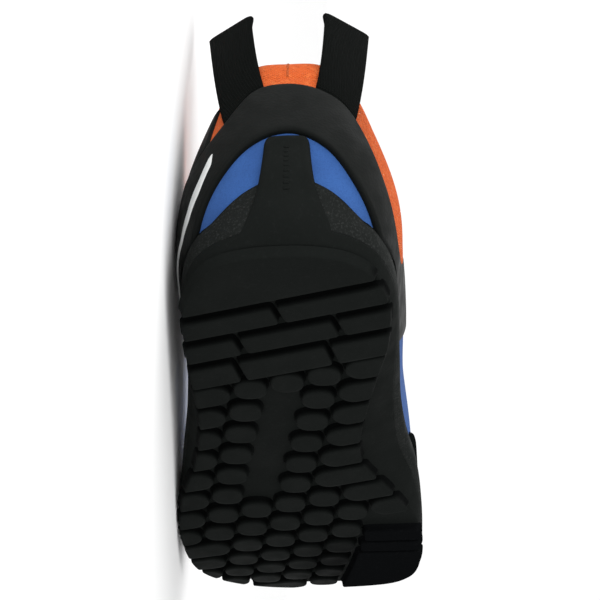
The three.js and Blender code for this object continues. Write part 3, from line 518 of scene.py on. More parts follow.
BLACK = rubber("outsole_rubber", (21, 23, 22), 0.6, 0.09, 0.008)
# Painted shade: the "depth" attribute darkens the grooves, the lugs' walls that face the heel, the edge notches and the
# forefoot towards the medial toe
BLACK.tint(BLACK.attribute("depth"), (7, 8, 8))
# Painted shade: the climbing zone and edge bars are the outsole's rubber in a darker colour, standing for the shade
# towards the toe
CLIMB = rubber("climbing_rubber_painted_shade", (11, 12, 13), 0.66, 0.06, 0.0)
CUP = rubber("cup_rubber", (25, 27, 26), 0.68, 0.2, 0.02)
CUP.tint(CUP.range(CUP.noise(0.0009, 2.0, 0.8), 0.54, 0.66, 0, 0.55), (52, 54, 53))
# Painted shade in part: the rand is black rubber, and its colour is darker than the outsole's to stand for the shade
# over the toe
RAND = rubber("rand_rubber", (14, 16, 16), 0.58, 0.1, 0.0)
BAND = smooth_leather("band_synthetic", (15, 17, 16), 0.5)
PANEL = smooth_leather("panel_synthetic", (15, 17, 16), 0.55)
STRIP = smooth_leather("plain_strip", (200, 202, 201), 0.6)
BLUE = suede("blue_textile", (48, 84, 142), (33, 60, 110))
ORANGE = knit("orange_lining", (206, 92, 40), (138, 54, 22), (226, 124, 66))
WEBBING_FINISH = woven("webbing_tape", (12, 14, 13), (22, 24, 23))
LACE_FINISH = woven("lace_cord", (18, 19, 20), (40, 42, 44), 2.2, 1.6)
METAL = Finish("eyelet_metal", (64, 66, 68), 0.35, metallic=1.0)
METAL.bump(METAL.noise(0.003), 0.03)
THREAD = Finish("stitch_thread", (38, 40, 41), 0.7, sheen=0.2)
SEAM = knit("orange_seam", (176, 84, 42), (120, 52, 26), (190, 96, 52))
BOARD = suede("insole_cloth", (44, 46, 49), (28, 29, 31))


def show(obj, slot, *nodes):
    """A piece rides on the shoe's one body, in the place of its CAD nodes."""
    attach(obj, "root")
    if nodes:
        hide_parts(*nodes)


# Camera: below and behind the heel, looking up along the tread, with the shoe's toe at the bottom of the picture
FIELD_OF_VIEW = 17.56
CAMERA_DISTANCE = 690.0
TURN = math.radians(3)
LEVEL_SHARE, RISE_SHARE = 0.788, 0.6157  # of a view 38 degrees up from the sole's plane
FOCAL, AIM_RIGHT, AIM_DOWN = 1943, 12, 55.7  # in pixels of the photograph's frame


def add_camera():
    right = np.array([math.cos(TURN), math.sin(TURN), 0])
    level = np.array([-math.sin(TURN), math.cos(TURN), 0])
    ahead = LEVEL_SHARE * level + RISE_SHARE * TALL
    up = -RISE_SHARE * level + LEVEL_SHARE * TALL
    position = np.array([3.0, 0, 0]) - CAMERA_DISTANCE * ahead
    aim = unit(ahead * FOCAL + right * AIM_RIGHT - up * AIM_DOWN)
    side = unit(np.cross(aim, up))
    top = np.cross(side, aim)
    camera = add("camera", bpy.data.cameras.new("camera"))
    axes = Matrix([SIDE * p[0] + FORWARD * p[1] + UP * p[2] for p in (side, top, -aim)]).transposed()
    camera.matrix_world = Matrix.Translation(Vector(place(position))) @ axes.to_4x4()
    camera.data.angle = math.radians(FIELD_OF_VIEW)
    camera.data.clip_start = 0.01
    bpy.context.scene.camera = camera


add_camera()


# Upper, overlays and lining
ROUND_U = np.arange(240) * RIBS / 240
SIDES = {-1: "lateral", 1: "medial"}


def mirror(side, u):
    """A place on the lateral side, or the one across from it."""
    return u if side < 0 else RIBS - u


# Each crease's place along the shoe and width, as shares of its length, and its depth; at the vamp also how far
# it steps aside from one side of the shoe to the other
VAMP_CREASES = ((0.665, 0.012, 0.9, 0.01), (0.705, 0.01, 0.7, -0.008), (0.63, 0.012, 0.5, 0.0))
ANKLE_CREASES = ((0.3, 0.018, 0.7), (0.2, 0.014, 0.5))


def creases(u, v):
    """Soft troughs and ridges where the vamp bends and at the ankle, in millimetres off the skin."""
    p = skin(u, v)
    y = p[..., 1] / LENGTH
    hill = lambda middle, width: np.exp(-((y - middle) / width) ** 2)
    depth = 0
    for middle, width, deep, aside in VAMP_CREASES:
        bend = middle + aside * np.sign(p[..., 0]) + 0.0105 * (v - 0.6)
        depth = depth + deep * (0.4 * hill(bend + 1.8 * width, width) - hill(bend, width)) * smooth((v - 0.25) / 0.3)
    for middle, width, deep in ANKLE_CREASES:
        fade = smooth((v - 0.3) / 0.2) * smooth((1 - v) / 0.2)
        depth = depth - deep * hill(middle + 0.08 * (v - 0.5), width) * fade
    return depth


def build_upper():
    outer = np.concatenate([np.linspace(0, 0.97, 52), [0.98, 0.988, 0.995, 1.0]])
    inner = np.linspace(1, 0, 22)
    u = ROUND_U[:, None]
    outside = off_skin(u, outer, creases(u, outer))
    lip = off_skin(ROUND_U, 1.0, -0.5 * UPPER_WALL)
    lip = lip + 0.5 * unit(skin(ROUND_U, 1.0) - skin(ROUND_U, 0.97))
    inside = off_skin(u, inner, -UPPER_WALL)
    inside[:, -1, 2] = outside[:, 0, 2]
    sections = np.concatenate([outside, lip[:, None], inside, inside[:, -1:] * 0.5 + outside[:, :1] * 0.5], axis=1)
    piece = shell("upper_shell", sections, BLUE, closed=True)
    punch(piece, SIDES)
    show(piece, "blue_textile", "upper")


def above_rim(u):
    """The place v where an overlay clears the cup's rim."""
    return v_at_height(u, rim_height(u) + 2 * GAP)


def spread(first, last, count):
    """Places from one station to another, closer together at both ends."""
    lip = np.array([0, 0.006, 0.016, 0.032, 0.055, 0.08])
    a, b = first * STEP, last * STEP
    return np.concatenate([a + lip, np.linspace(a + 0.12, b - 0.12, count), b - lip[::-1]])


ON_SKIN = 0.06


def overlay(name, finish, places, low, high, thickness, rows=22):
    """A layer on the upper with rounded edges, from one place v to another on each rib."""
    u = np.asarray(places)
    lo, hi = low(u), np.maximum(high(u), low(u) + 0.004)
    thickness = thickness * np.ones(len(u))
    scale = np.linalg.norm(skin(u, hi) - skin(u, lo), axis=-1) / (hi - lo)
    edge = np.minimum(0.9 * thickness / scale, 0.45 * (hi - lo))
    turn = np.linspace(0, math.pi / 2, 6)
    v_low = lo[:, None] + edge[:, None] * (1 - np.cos(turn))
    v_high = hi[:, None] - edge[:, None] * (1 - np.cos(turn[::-1]))
    flat = (lo + edge)[:, None] + (hi - lo - 2 * edge)[:, None] * np.linspace(0, 1, rows)[1:-1]
    v = np.concatenate([v_low, flat, v_high], axis=1)
    rise = np.concatenate([np.sin(turn), np.ones(rows - 2), np.sin(turn[::-1])])
    first, last = (np.linalg.norm(skin(u, 0.5) - skin(u[k], 0.5), axis=-1) for k in (0, -1))
    near = np.clip(np.minimum(first, last) / (0.9 * thickness), 0, 1)
    ends = np.sqrt(1 - (1 - near) ** 2)
    off = ON_SKIN + (LAYER_GAP + thickness - ON_SKIN)[:, None] * rise * ends[:, None]
    outer = off_skin(u[:, None], v, np.maximum(off, ON_SKIN))
    inner = off_skin(u[:, None], v[:, ::-1], 0.5 * ON_SKIN)
    return shell(name, np.concatenate([outer, inner], axis=1), finish)


# One row for each rib from the heel: band top out, in, low out, in; then the panels' tops, side and ankle
BAND_ROWS = np.array([
    (0.855, 0.855, 0.561, 0.561, 0.9, 0.985),
    (0.823, 0.817, 0.505, 0.492, 0.92, 0.985),
    (0.66, 0.725, 0.364, 0.336, 0.93, 0.985),
    (0.56, 0.44, 0.2, 0.2, 0.94, 0.985),
    (0.56, 0.3, 0.12, 0.12, 0.95, 0.985),
    (0.53, 0.4, 0.1, 0.12, 0.95, 0.97),
    (0.46, 0.63, 0.1, 0.21, 0.93, 0.93),
    (0.37, 0.75, 0.1, 0.48, 0.86, 0.86),
    (0.3, 0.76, 0.1, 0.62, 0.76, 0.76),
])
RAND_TOE = 12  # the rand's height over the cup's rim, at the toe
RAND_SIDE = 9
# Stations
RAND_LATERAL = 14
RAND_MEDIAL = 34
FACINGS_START = 13
FACINGS_END = 22
BAND_END = 11
PANEL_SEAM = 4
ANKLE_END = -8
COLLAR_END = 12
ANKLE_KNIT = 1.0  # thickness


def tabled(column, u):
    """The smooth value of a column, the same on both sides of the heel."""
    last = len(BAND_ROWS) - 1
    rib = np.minimum(np.abs(np.where(u > TOE, RIBS - u, u)), last - 0.001)
    i = np.floor(rib).astype(int)
    return spline(*(BAND_ROWS[np.minimum(np.abs(i + k), last), column] for k in (-1, 0, 1, 2)), rib - i)


def band_edge(column, u):
    return np.where(u < 0, tabled(column + 1, u), tabled(column, u)) * COLLAR_HEIGHT


def band_top(u):
    return v_at_height(u, band_edge(0, u))


def band_low(u):
    return v_at_height(u, np.maximum(band_edge(2, u), rim_height(u) + 2 * GAP))


def rand_high(u):
    forward = smooth((wall(u)[..., 1] / LENGTH - 0.62) / 0.36)
    to_end = np.minimum(u / STEP - RAND_LATERAL + 1, RAND_MEDIAL + 1 - u / STEP)
    rise = mix(0.35, 1, smooth(0.5 * to_end)) * mix(RAND_SIDE, RAND_TOE, forward)
    return v_at_height(u, rim_height(u) + 2 * GAP + rise)


def build_overlays():
    places = spread(-BAND_END - 1, BAND_END, 200)
    thin = mix(OVERLAY + 0.3, 0.7, smooth((-places - 3.2) / 1.5))
    show(overlay("sling_band", BAND, places, band_low, band_top, thin, 30), "black_synthetic", "heel_band")
    places = spread(RAND_LATERAL, RAND_MEDIAL, 180)
    show(overlay("toe_rand_skin", RAND, places, above_rim, rand_high, OVERLAY, 14), "rand_rubber", "toe_rand")
    low = lambda u: np.maximum(band_top(u) - 0.012, above_rim(u))
    places = spread(PANEL_SEAM, FACINGS_START, 80)
    show(overlay("side_panel_skin", PANEL, places, low, lambda u: tabled(4, u), OVERLAY), "black_synthetic",
         "side_panel_lateral")
    places = spread(ANKLE_END, PANEL_SEAM - 0.05, 110)
    show(overlay("ankle_panel_skin", ORANGE, places, low, lambda u: tabled(5, u), ANKLE_KNIT), "lining", "ankle_panel")


# The strip's middle: place in ribs, and height
STRIP_LINE = np.array([(1.95, 51), (2.2, 46), (2.5, 38.5), (3, 30.5), (3.5, 26.5), (4.2, 25.5), (5.8, 29)])
STRIP_HALF = (4.2, 1.1)  # half its width, at its top and farther on


def build_strip():
    """A plain light strip along the lateral side."""
    wide = lambda u: mix(*STRIP_HALF, smooth((u - 2.2) / 2.2))
    edge = lambda side: lambda u: v_at_height(u, np.interp(u, *STRIP_LINE.T) + side * wide(u))
    show(overlay("plain_strip", STRIP, spread(2.0 / STEP, 5.7 / STEP, 50), edge(-1), edge(1), OVERLAY + 0.8, 10),
         "black_synthetic")


STITCH_ROWS = (0.858, 0.978)
STITCH_PITCH = 0.19
STITCH_LENGTH = 0.13
STITCH_RISE = (-0.25, 0.08, 0.14, 0.08, -0.25)


def build_stitches():
    """Two rows of thread along each eyestay."""
    parts = []
    lift = np.array(STITCH_RISE) + LAYER_GAP + OVERLAY
    for side in SIDES:
        for v in STITCH_ROWS:
            for u in np.arange(FACINGS_START * STEP + 0.12, FACINGS_END * STEP - 0.1, STITCH_PITCH):
                places = mirror(side, np.linspace(u, u + STITCH_LENGTH, 5))
                parts.append(capped(tube(off_skin(places, v, lift), 0.3, 0.24, 6)))
    show(make_object("eyestay_stitches", *join(parts), THREAD), "black_synthetic")


def build_collar():
    u = np.linspace(-COLLAR_END * STEP, COLLAR_END * STEP, 145)
    edge = skin(u, 1)
    lift = unit(edge - skin(u, 0.97))
    out = unit(off_skin(u, 1, 1) - edge)
    to_end = COLLAR_END - np.abs(u) / STEP
    taper = mix(0.3, 1, smooth(to_end / 4))
    inside = UPPER_WALL + LAYER_GAP
    pad = inside + PAD * taper
    roll = ROLL * mix(0.45, 1, smooth(to_end / 7)) * mix(0.15, 1, smooth(to_end / 2))
    column = lambda value: np.reshape(value * np.ones_like(u), (-1, 1))
    above = lambda rise, off: edge + lift * column(rise) + out * column(off)
    section = np.stack([
        off_skin(u, 0.73, -inside), off_skin(u, 0.84, -inside), above(0.3, -inside), above(0.3, -0.5),
        above(-0.9, 0.3), above(-1.5, 1.25), above(0.45 * roll, 1.5), above(0.93 * roll, -0.6),
        above(1.1 * roll, -0.4 * pad), above(0.8 * roll, -0.75 * pad), above(0.1 * roll, -pad),
        off_skin(u, 0.9, -pad - 0.1 * PAD * taper), off_skin(u, 0.8, -mix(inside, pad, 0.85)),
        off_skin(u, 0.73, -mix(inside, pad, 0.3)),
    ], axis=1)
    section = refine(section, 5, True, 1)
    # The closing seam down the middle of its back is a thin raised welt
    welt = refine(section[len(section) // 2, 26:52:4], 4)
    show(shell("collar_seam", tube(welt, 0.5, 0.28, 10), SEAM), "lining")
    piece = shell("collar_pad", section, ORANGE)
    show(piece, "lining", "collar")


# The tongue's free end: how far back and up from its last facing, and its width, as shares
TONGUE_FREE = ((0.03, 0.05, 0.9), (0.062, 0.125, 0.88), (0.085, 0.215, 0.78))
TONGUE_DROP = 4.4


def build_tongue():
    drop = -UPPER_WALL - 2 * LAYER_GAP - TONGUE_DROP
    rows = []
    for station in range(FACINGS_END, FACINGS_START - 1, -1):
        u = station * STEP
        wing = 0.93 if station == FACINGS_START else 0.84
        left, right = off_skin(u, 1.0, drop), off_skin(RIBS - u, 1.0, drop)
        middle = (left + right) / 2 + [0, 0, 0.02 * BALL_WIDTH]
        rows.append([off_skin(u, wing, drop), left, middle, right, off_skin(RIBS - u, wing, drop)])
    last = np.array(rows[-1])
    for back, up, wide in TONGUE_FREE:
        rows.append(mix(last[2], last, wide) + [0, -back * LENGTH, up * INSTEP_HEIGHT])
    top = refine(refine(np.array(rows), 8), 8, axis=1)
    across = np.linspace(-1, 1, top.shape[1])
    thick = TONGUE * np.sqrt(np.maximum(0.04, 1 - np.abs(across) ** 6))
    crown = 0.5 * TONGUE * np.sqrt(np.maximum(0, 1 - np.abs(across) ** 6))
    ends = np.clip(np.arange(len(top))[::-1] / 4, 0.15, 1) ** 0.5
    upper = top + TALL * (crown * ends[:, None] - 0.5 * TONGUE)[..., None]
    lower = upper - TALL * (thick * ends[:, None])[..., None]
    piece = shell("tongue_pad", np.concatenate([upper, lower[:, ::-1]], axis=1), ORANGE)
    show(piece, "lining", "tongue")


def build_insole():
    rings = []
    for inset, rise in ((0.4, GAP), (0, 0.4 * INSOLE), (0.1, 0.85 * INSOLE), (0.8, INSOLE)):
        rings.append(off_skin(ROUND_U, 0.03, -UPPER_WALL - GAP - 0.5 - inset))
        rings[-1][:, 2] = bed(rings[-1][:, 1]) + rise
    show(stack("insole_board", rings, BOARD), "lining", "insole")


COLUMN_STEPS = 8
SEAM_ROW = 2 * COLUMN_STEPS  # where the outsole's side ends and the cup begins


def side_columns(u):
    """The sole's side as smooth columns from the tread's edge up to the cup's rim."""
    def on(share, height):
        flat = mix(tread(u), wall(u), share)
        return np.column_stack([flat, height + spring(flat[:, 1])])

    widest = on(1, 0)
    widest[:, 2] = mix(OUTSOLE_STACK + GAP + widest[:, 2], bed(widest[:, 1]), 0.5)
    edge = widest - outward(u) * 0.1 * CUP_WALL
    edge[:, 2] = mix(bed(edge[:, 1]), rim_height(u), 0.45)
    rim = off_skin(u, v_at_height(u, rim_height(u)), LAYER_GAP + RIM_EDGE)
    points = np.stack([on(0, LUG_DEPTH), on(0.42, mix(LUG_DEPTH, OUTSOLE_STACK, 0.42)), on(0.8, OUTSOLE_STACK),
                       widest, edge, rim])
    return refine(points, COLUMN_STEPS)


def build_midsole():
    """The cup: a wall that swells and comes in again to a rounded rim, and a bed."""
    u = ROUND_U
    column = side_columns(u)
    rim_out = column[-1]
    rise = unit(rim_out - column[-3])
    rim_in = off_skin(u, v_at_height(u, rim_height(u)), 0.15)
    across = unit(rim_in - rim_out)
    bedding = off_skin(u, 0, LAYER_GAP)
    bedding[:, 2] = bed(bedding[:, 1])
    lip = [rim_out - rise * 0.7, rim_out - rise * 0.25 + across * 0.1, rim_out + across * 0.5,
           rim_in - across * 0.35, rim_in - rise * 0.5]
    base = column[SEAM_ROW] + [0, 0, 0.12]
    rings = np.concatenate([base[None], column[SEAM_ROW + 1:-1], lip, [mix(rim_in, bedding, 0.15), bedding]])
    show(stack("cup_wall", rings, CUP), "rubber_cup", "midsole")


# Outsole: a plate with its side wall, lugs under it and the rib up the heel
FIRST_GROOVE = 0.1235 * LENGTH
FIRST_ROW = 0.311 * LENGTH
MIDDLE_STRIP = (0.32 * LENGTH, 0.6 * LENGTH)
CLIMB_START = 0.81 * LENGTH
EDGE_BARS = 0.73 * LENGTH
TREAD_OUTLINE = tread(np.arange(600) * RIBS / 600)[::-1]


def tread_edge(y, side):
    """The tread's edge beside a place, x in the shoe's frame."""
    half = tread(mirror(side, np.linspace(0, TOE, 400)))
    return np.interp(y, half[:, 1], half[:, 0])


def climb_edge(y):
    return mix(0.25, 0.13, (y - EDGE_BARS) / (LENGTH - EDGE_BARS)) * BALL_WIDTH


def clip(polygon, convex):
    """The part of a polygon inside a convex one given anticlockwise."""
    points = list(polygon)
    for (ax, ay), (bx, by) in zip(convex, np.roll(convex, -1, axis=0)):
        side = lambda p: (bx - ax) * (p[1] - ay) - (by - ay) * (p[0] - ax)
        kept = []
        for p, q in zip(points, points[1:] + points[:1]):
            s, t = side(p), side(q)
            if s >= 0:
                kept.append(p)
            if (s >= 0) != (t >= 0):
                kept.append(mix(p, q, s / (s - t)))
        points = kept
        if len(points) < 3:
            return None
    return np.array(points)


def area(polygon):
    x, y = polygon[:, 0], polygon[:, 1]
    return 0.5 * np.sum(x * np.roll(y, -1) - y * np.roll(x, -1))


def even(polygon, spacing=0.7):
    """The same outline with points at even steps."""
    closed = np.vstack([polygon, polygon[:1]])
    total = np.concatenate([[0], np.cumsum(np.linalg.norm(np.diff(closed, axis=0), axis=1))])
    where = np.linspace(0, total[-1], max(24, int(total[-1] / spacing)), endpoint=False)
    return np.stack([np.interp(where, total, closed[:, k]) for k in (0, 1)], -1)


def rounded(polygon, radius):
    """The outline with its corners blurred away."""
    points = even(polygon)
    step = np.linalg.norm(points[1] - points[0])
    reach = int(3 * radius / step)
    shifts = np.arange(-reach, reach + 1)
    weights = np.exp(-0.5 * (shifts * step / radius) ** 2)
    return sum(w * np.roll(points, k, axis=0) for k, w in zip(shifts, weights / weights.sum()))


# A lug's side: how far outside its outline, and its height as a share of the lug's depth
LUG_SIDE = ((1.15, 1.2), (0.95, 0.98), (0.5, 0.86), (0.22, 0.6), (0.06, 0.25), (-0.12, 0.09), (-0.42, 0.0))
SOFT_SIDE = ((1.6, 1.15), (1.2, 0.95), (0.8, 0.68), (0.42, 0.4), (0.12, 0.16), (-0.2, 0.05), (-0.6, 0.0))


def lug(polygon, radius, profile=LUG_SIDE):
    """One lug on the plate, its outline clipped to the tread: its points, faces and the painted shade at each point."""
    polygon = clip(TREAD_OUTLINE, polygon)
    if polygon is None or area(polygon) < 8:
        return None
    points = rounded(polygon, radius)
    along = unit(np.roll(points, -1, axis=0) - np.roll(points, 1, axis=0))
    away = np.stack([along[:, 1], -along[:, 0]], -1)
    centre = points.mean(0)
    face = points - away * 0.42
    flats = [points + away * out for out, _ in profile] + [mix(centre, face, k) for k in (0.82, 0.6, 0.35, 0.12)]
    shares = np.array([share for _, share in profile] + [0.0] * 4)
    rings = np.array([np.column_stack([flat, share * LUG_DEPTH + spring(flat[:, 1])])
                      for flat, share in zip(flats, shares)])
    faces = capped(rings)[1]
    faces.pop(-2)  # open where it stands on the plate
    # Painted shade: darker down the lug's sides into the groove, and on the walls that face the heel
    shares = np.minimum(1.6 * shares, 1)
    facing = mix(0.25, 1.0, smooth((0.5 - away[:, 1]) / 1.1))
    if profile is SOFT_SIDE:
        facing = facing * smooth((points[:, 1] - SLANT * points[:, 0] - FIRST_GROOVE + 9) / 6)
    # Painted shade, darker towards the medial toe
    shade = 0.95 * smooth((rings[..., 1] - 0.68 * LENGTH) / 50) * smooth((rings[..., 0] + 15) / 35)
    return rings.reshape(-1, 3), faces, np.maximum(shares[:, None] * facing, shade).ravel()


def heel_lugs():
    """The lugs that three slanted grooves and their staggered, rounded cuts leave standing."""
    reach = HEEL_WIDTH
    cuts = ([], [-0.04], [-0.24, 0.25], [-0.26, 0.21])
    half, skew, gap = 0.5 * GROOVE, 0.1 * LUG_PITCH, 0.24 * GROOVE
    slanted = lambda x, y: (x, y + SLANT * x)
    shapes = []
    for band, across in enumerate(cuts):
        low = FIRST_GROOVE + (band - 1) * LUG_PITCH + half if band else -reach
        high = FIRST_GROOVE + band * LUG_PITCH - (half if band < 3 else 0)
        edges = [-reach] + [share * HEEL_WIDTH for share in across] + [reach]
        for k in range(len(edges) - 1):
            cut_l, cut_r = int(k > 0), int(k < len(edges) - 2)
            left, right = edges[k] + gap * cut_l, edges[k + 1] - gap * cut_r
            lean_l, lean_r = skew * cut_l, skew * cut_r
            shapes.append([slanted(left - lean_l, low), slanted(right - lean_r, low),
                           slanted(right + lean_r, high), slanted(left + lean_l, high)])
    return shapes


def round_lug(x, y, tail=0):
    """An oval lug. With a tail of -1 or 1 it runs on to that side as a bar."""
    angles = turns(40)
    swell = lambda t: np.sign(t) * np.abs(t) ** 0.78
    oval = np.stack([x + 0.53 * LUG_WIDTH * swell(np.cos(angles)), y + 0.53 * LUG_LENGTH * swell(np.sin(angles))], -1)
    if not tail:
        return oval
    half = 0.54 * LUG_LENGTH
    end = x + tail * BALL_WIDTH / 3
    bend = np.linspace(-math.pi / 2, math.pi / 2, 14)
    cap = np.stack([x - tail * 0.54 * LUG_WIDTH * np.cos(bend), y + tail * half * np.sin(bend)], -1)
    far = np.array([[end, y + SLANT * (end - x) + tail * half * 0.9 * s] for s in (-1, 1)])
    return np.vstack([cap if tail < 0 else cap[::-1], far])


def hull(points):
    """The convex outline round some points, anticlockwise."""
    points = sorted(map(tuple, points))

    def chain(run):
        out = []
        for p in run:
            while len(out) > 1 and ((out[-1][0] - out[-2][0]) * (p[1] - out[-2][1])
                                    - (out[-1][1] - out[-2][1]) * (p[0] - out[-2][0])) <= 0:
                out.pop()
            out.append(p)
        return out[:-1]

    return np.array(chain(points) + chain(points[::-1]))


def field_lugs():
    """Rows of oval lugs, staggered along the sole's slant, from the heel's lugs to the toe."""
    shapes = []
    for j in range(math.ceil((LENGTH - FIRST_ROW) / LUG_PITCH) + 1):
        line = FIRST_ROW + j * LUG_PITCH
        kept = []
        for k in range(-3, 9):
            x = ((k - 2) * LUG_COLUMN + LEAN * (line - FIRST_ROW) - 0.02 * BALL_WIDTH) / (1 + LEAN * SLANT)
            y = line + SLANT * x
            beside = x < tread_edge(y, -1) - 0.1 * LUG_WIDTH or x > tread_edge(y, 1) - 0.3 * LUG_WIDTH
            bare = k == 2 and MIDDLE_STRIP[0] < y < MIDDLE_STRIP[1]
            smooth_zone = y > EDGE_BARS - LUG_LENGTH / 2 and x > climb_edge(y) - LUG_WIDTH / 2
            if not (y > LENGTH or beside or bare or smooth_zone):
                kept.append((x, y))
        for i, (x, y) in enumerate(kept):
            tail = -1 if i == 0 else 1 if i == len(kept) - 1 and y < EDGE_BARS - LUG_PITCH / 2 else 0
            shapes.append(round_lug(x, y, tail))
    return shapes


def climbing_zone():
    low, high = CLIMB_START, LENGTH + 5
    return [(BALL_WIDTH, low), (BALL_WIDTH, high), (climb_edge(high), high), (climb_edge(low), low)]


def edge_bars():
    pitch = (CLIMB_START - EDGE_BARS) / 2
    half = 0.41 * pitch
    return [[(climb_edge(y), y - half), (BALL_WIDTH, y - half), (BALL_WIDTH, y + half), (climb_edge(y), y + half)]
            for y in (EDGE_BARS + 0.42 * pitch, EDGE_BARS + 1.42 * pitch)]


def build_lugs():
    parts = [lug(hull(shape), 1.1, LUG_SIDE if k else SOFT_SIDE) for k, shape in enumerate(heel_lugs())]
    parts = [p for p in parts + [lug(hull(shape), 0.9) for shape in field_lugs()] if p]
    # The painted shade of every lug's points
    depth = np.concatenate([p[2] for p in parts])
    show(make_object("tread_lugs", *join(parts), BLACK, depth=depth), "rubber")
    parts = [lug(hull(shape), 1.2) for shape in [climbing_zone()] + edge_bars()]
    show(make_object("climbing_lugs", *join([p for p in parts if p]), CLIMB), "rubber")


NOTCH_DEPTH = 2.2


def notches(u, y):
    """1 in the middle of each saw-tooth notch of the lateral forefoot's edge and 0 elsewhere."""
    turn = ((y - SLANT * tread(u)[..., 0] - FIRST_ROW) / LUG_PITCH - 0.5) % 1
    near = np.minimum(turn, 1 - turn)
    zone = smooth((y - FIRST_ROW - 5.6 * LUG_PITCH) / 12) * smooth((0.97 * LENGTH - y) / 8)
    return np.where((u > 0) & (u < TOE), smooth((0.24 - near) / 0.12) * zone, 0)


def build_plate():
    u = np.arange(480) * RIBS / 480
    rings = side_columns(u)[:SEAM_ROW + 1].copy()
    notch = notches(u, rings[0, :, 1])
    for k in range(SEAM_ROW):
        rings[k] -= outward(u) * (NOTCH_DEPTH * notch * (1 - k / SEAM_ROW) ** 0.6)[:, None]
    inside = rings[0] * [0.97, 0.995, 1]
    rings = np.concatenate([inside[None], rings])
    # Painted shade in the notches of the lateral forefoot's edge
    depth = 0.9 * notch[None] * np.clip(1 - np.arange(len(rings)) / 12, 0, 1)[:, None]
    show(stack("outsole_plate", rings, BLACK, depth), "rubber", "outsole")


# Height above the floor, half width in ribs of the shoe and share of the rib's full depth
RIB_ROWS = ((4.2, 2.2, 0.0), (5.2, 1.65, 0.14), (7, 1.32, 0.34), (10, 1.1, 0.56), (14, 0.96, 0.76), (18.2, 0.85, 0.88),
            (25, 0.71, 0.96), (31.2, 0.63, 1), (37, 0.6, 1), (43, 0.58, 0.98), (48.5, 0.555, 0.9), (50.8, 0.51, 0.74),
            (51.8, 0.44, 0.5), (52.2, 0.36, 0.2))


def rib_surface(u, z, off):
    """Points off the heel's outer surface at a height: the sole's side, and above the cup the upper."""
    column = side_columns(u)
    base = np.array([[np.interp(z, column[:, k, 2], column[:, k, axis]) for axis in range(3)] for k in range(len(u))])
    on = skin(u, v_at_height(u, z))
    base[:, 2] = on[:, 2] = z
    above = smooth((z - rim_height(u) - 1) / (0.25 * RIB_HEIGHT))[:, None]
    return mix(base, on + outward(u) * 0.2, above) + outward(u) * np.reshape(off, (-1, 1))


def rib_section(u, z, outer, inner):
    return np.vstack([rib_surface(u, z, outer), rib_surface(u, z, inner)[::-1]])


def rib_depth(t, z, depth):
    square = np.sqrt(np.maximum(0, 1 - np.abs(t) ** 8))
    bell = np.cos(0.5 * math.pi * t) ** 2
    side = mix(bell, square, smooth((z - 6) / 15))
    hollow = 0.13 * np.exp(-((t / 0.66) ** 12)) * smooth((z - 14) / 8) * smooth((50 - z) / 4)
    return RIB_DEPTH * depth * (side - hollow)


def build_rib():
    rows = refine(np.array(RIB_ROWS, float), 6)
    t = np.sin(np.linspace(-math.pi / 2, math.pi / 2, 41))
    sections = []
    for z, half, depth in rows:
        sections.append(rib_section(t * half, z, rib_depth(t, z, max(depth, 0)) + 0.04, np.full(len(t), -0.15)))
    show(shell("heel_rib", np.array(sections), BLACK), "rubber")


MARK_HEIGHTS = np.arange(24.0, 47.0, 2.6)
MARK_SECTION = ((-0.55, 0.02), (-0.4, 0.2), (0.0, 0.28), (0.4, 0.2), (0.55, 0.02))


def build_rib_marks():
    """Plain short ridges down the middle of the rib."""
    parts = []
    t = np.linspace(-0.1, 0.1, 7)
    for z in MARK_HEIGHTS:
        half = np.interp(z, [r[0] for r in RIB_ROWS], [r[1] for r in RIB_ROWS])
        sections = []
        for rise, high in MARK_SECTION:
            crown = high * np.sqrt(np.maximum(0.02, 1 - (t / 0.1) ** 6))
            depth = rib_depth(t, z + rise, 1.0)
            sections.append(rib_section(t * half, z + rise, depth + 0.04 + crown, depth - 0.2))
        parts.append(capped(np.array(sections)))
    show(make_object("rib_ridges", *join(parts), BLACK), "rubber")


# Pull loops, eyestays, eyelets and lace
LOOP_RIB = 1.45
LOOP_SPLAY = 0.27
LOOP_TURN = 0.17
LOOP_FEET = {1: (1.9, 0.68), -1: (-0.8, -2.14)}  # places in ribs where each foot's edges meet the band
EYESTAY_LOW = 0.83


def tape(name, grid, finish, thick):
    """A strap from a grid of points, rows along it and columns across it, with rounded edges."""
    grid = refine(grid, 6)
    normal = unit(np.cross(np.gradient(grid, axis=0), np.gradient(grid, axis=1)))
    across = np.linspace(-1, 1, grid.shape[1])
    half = normal * (0.5 * thick * np.maximum(0.15, 1 - np.abs(across) ** 10) ** 0.5)[:, None]
    return shell(name, np.concatenate([grid + half, (grid - half)[:, ::-1]], axis=1), finish)


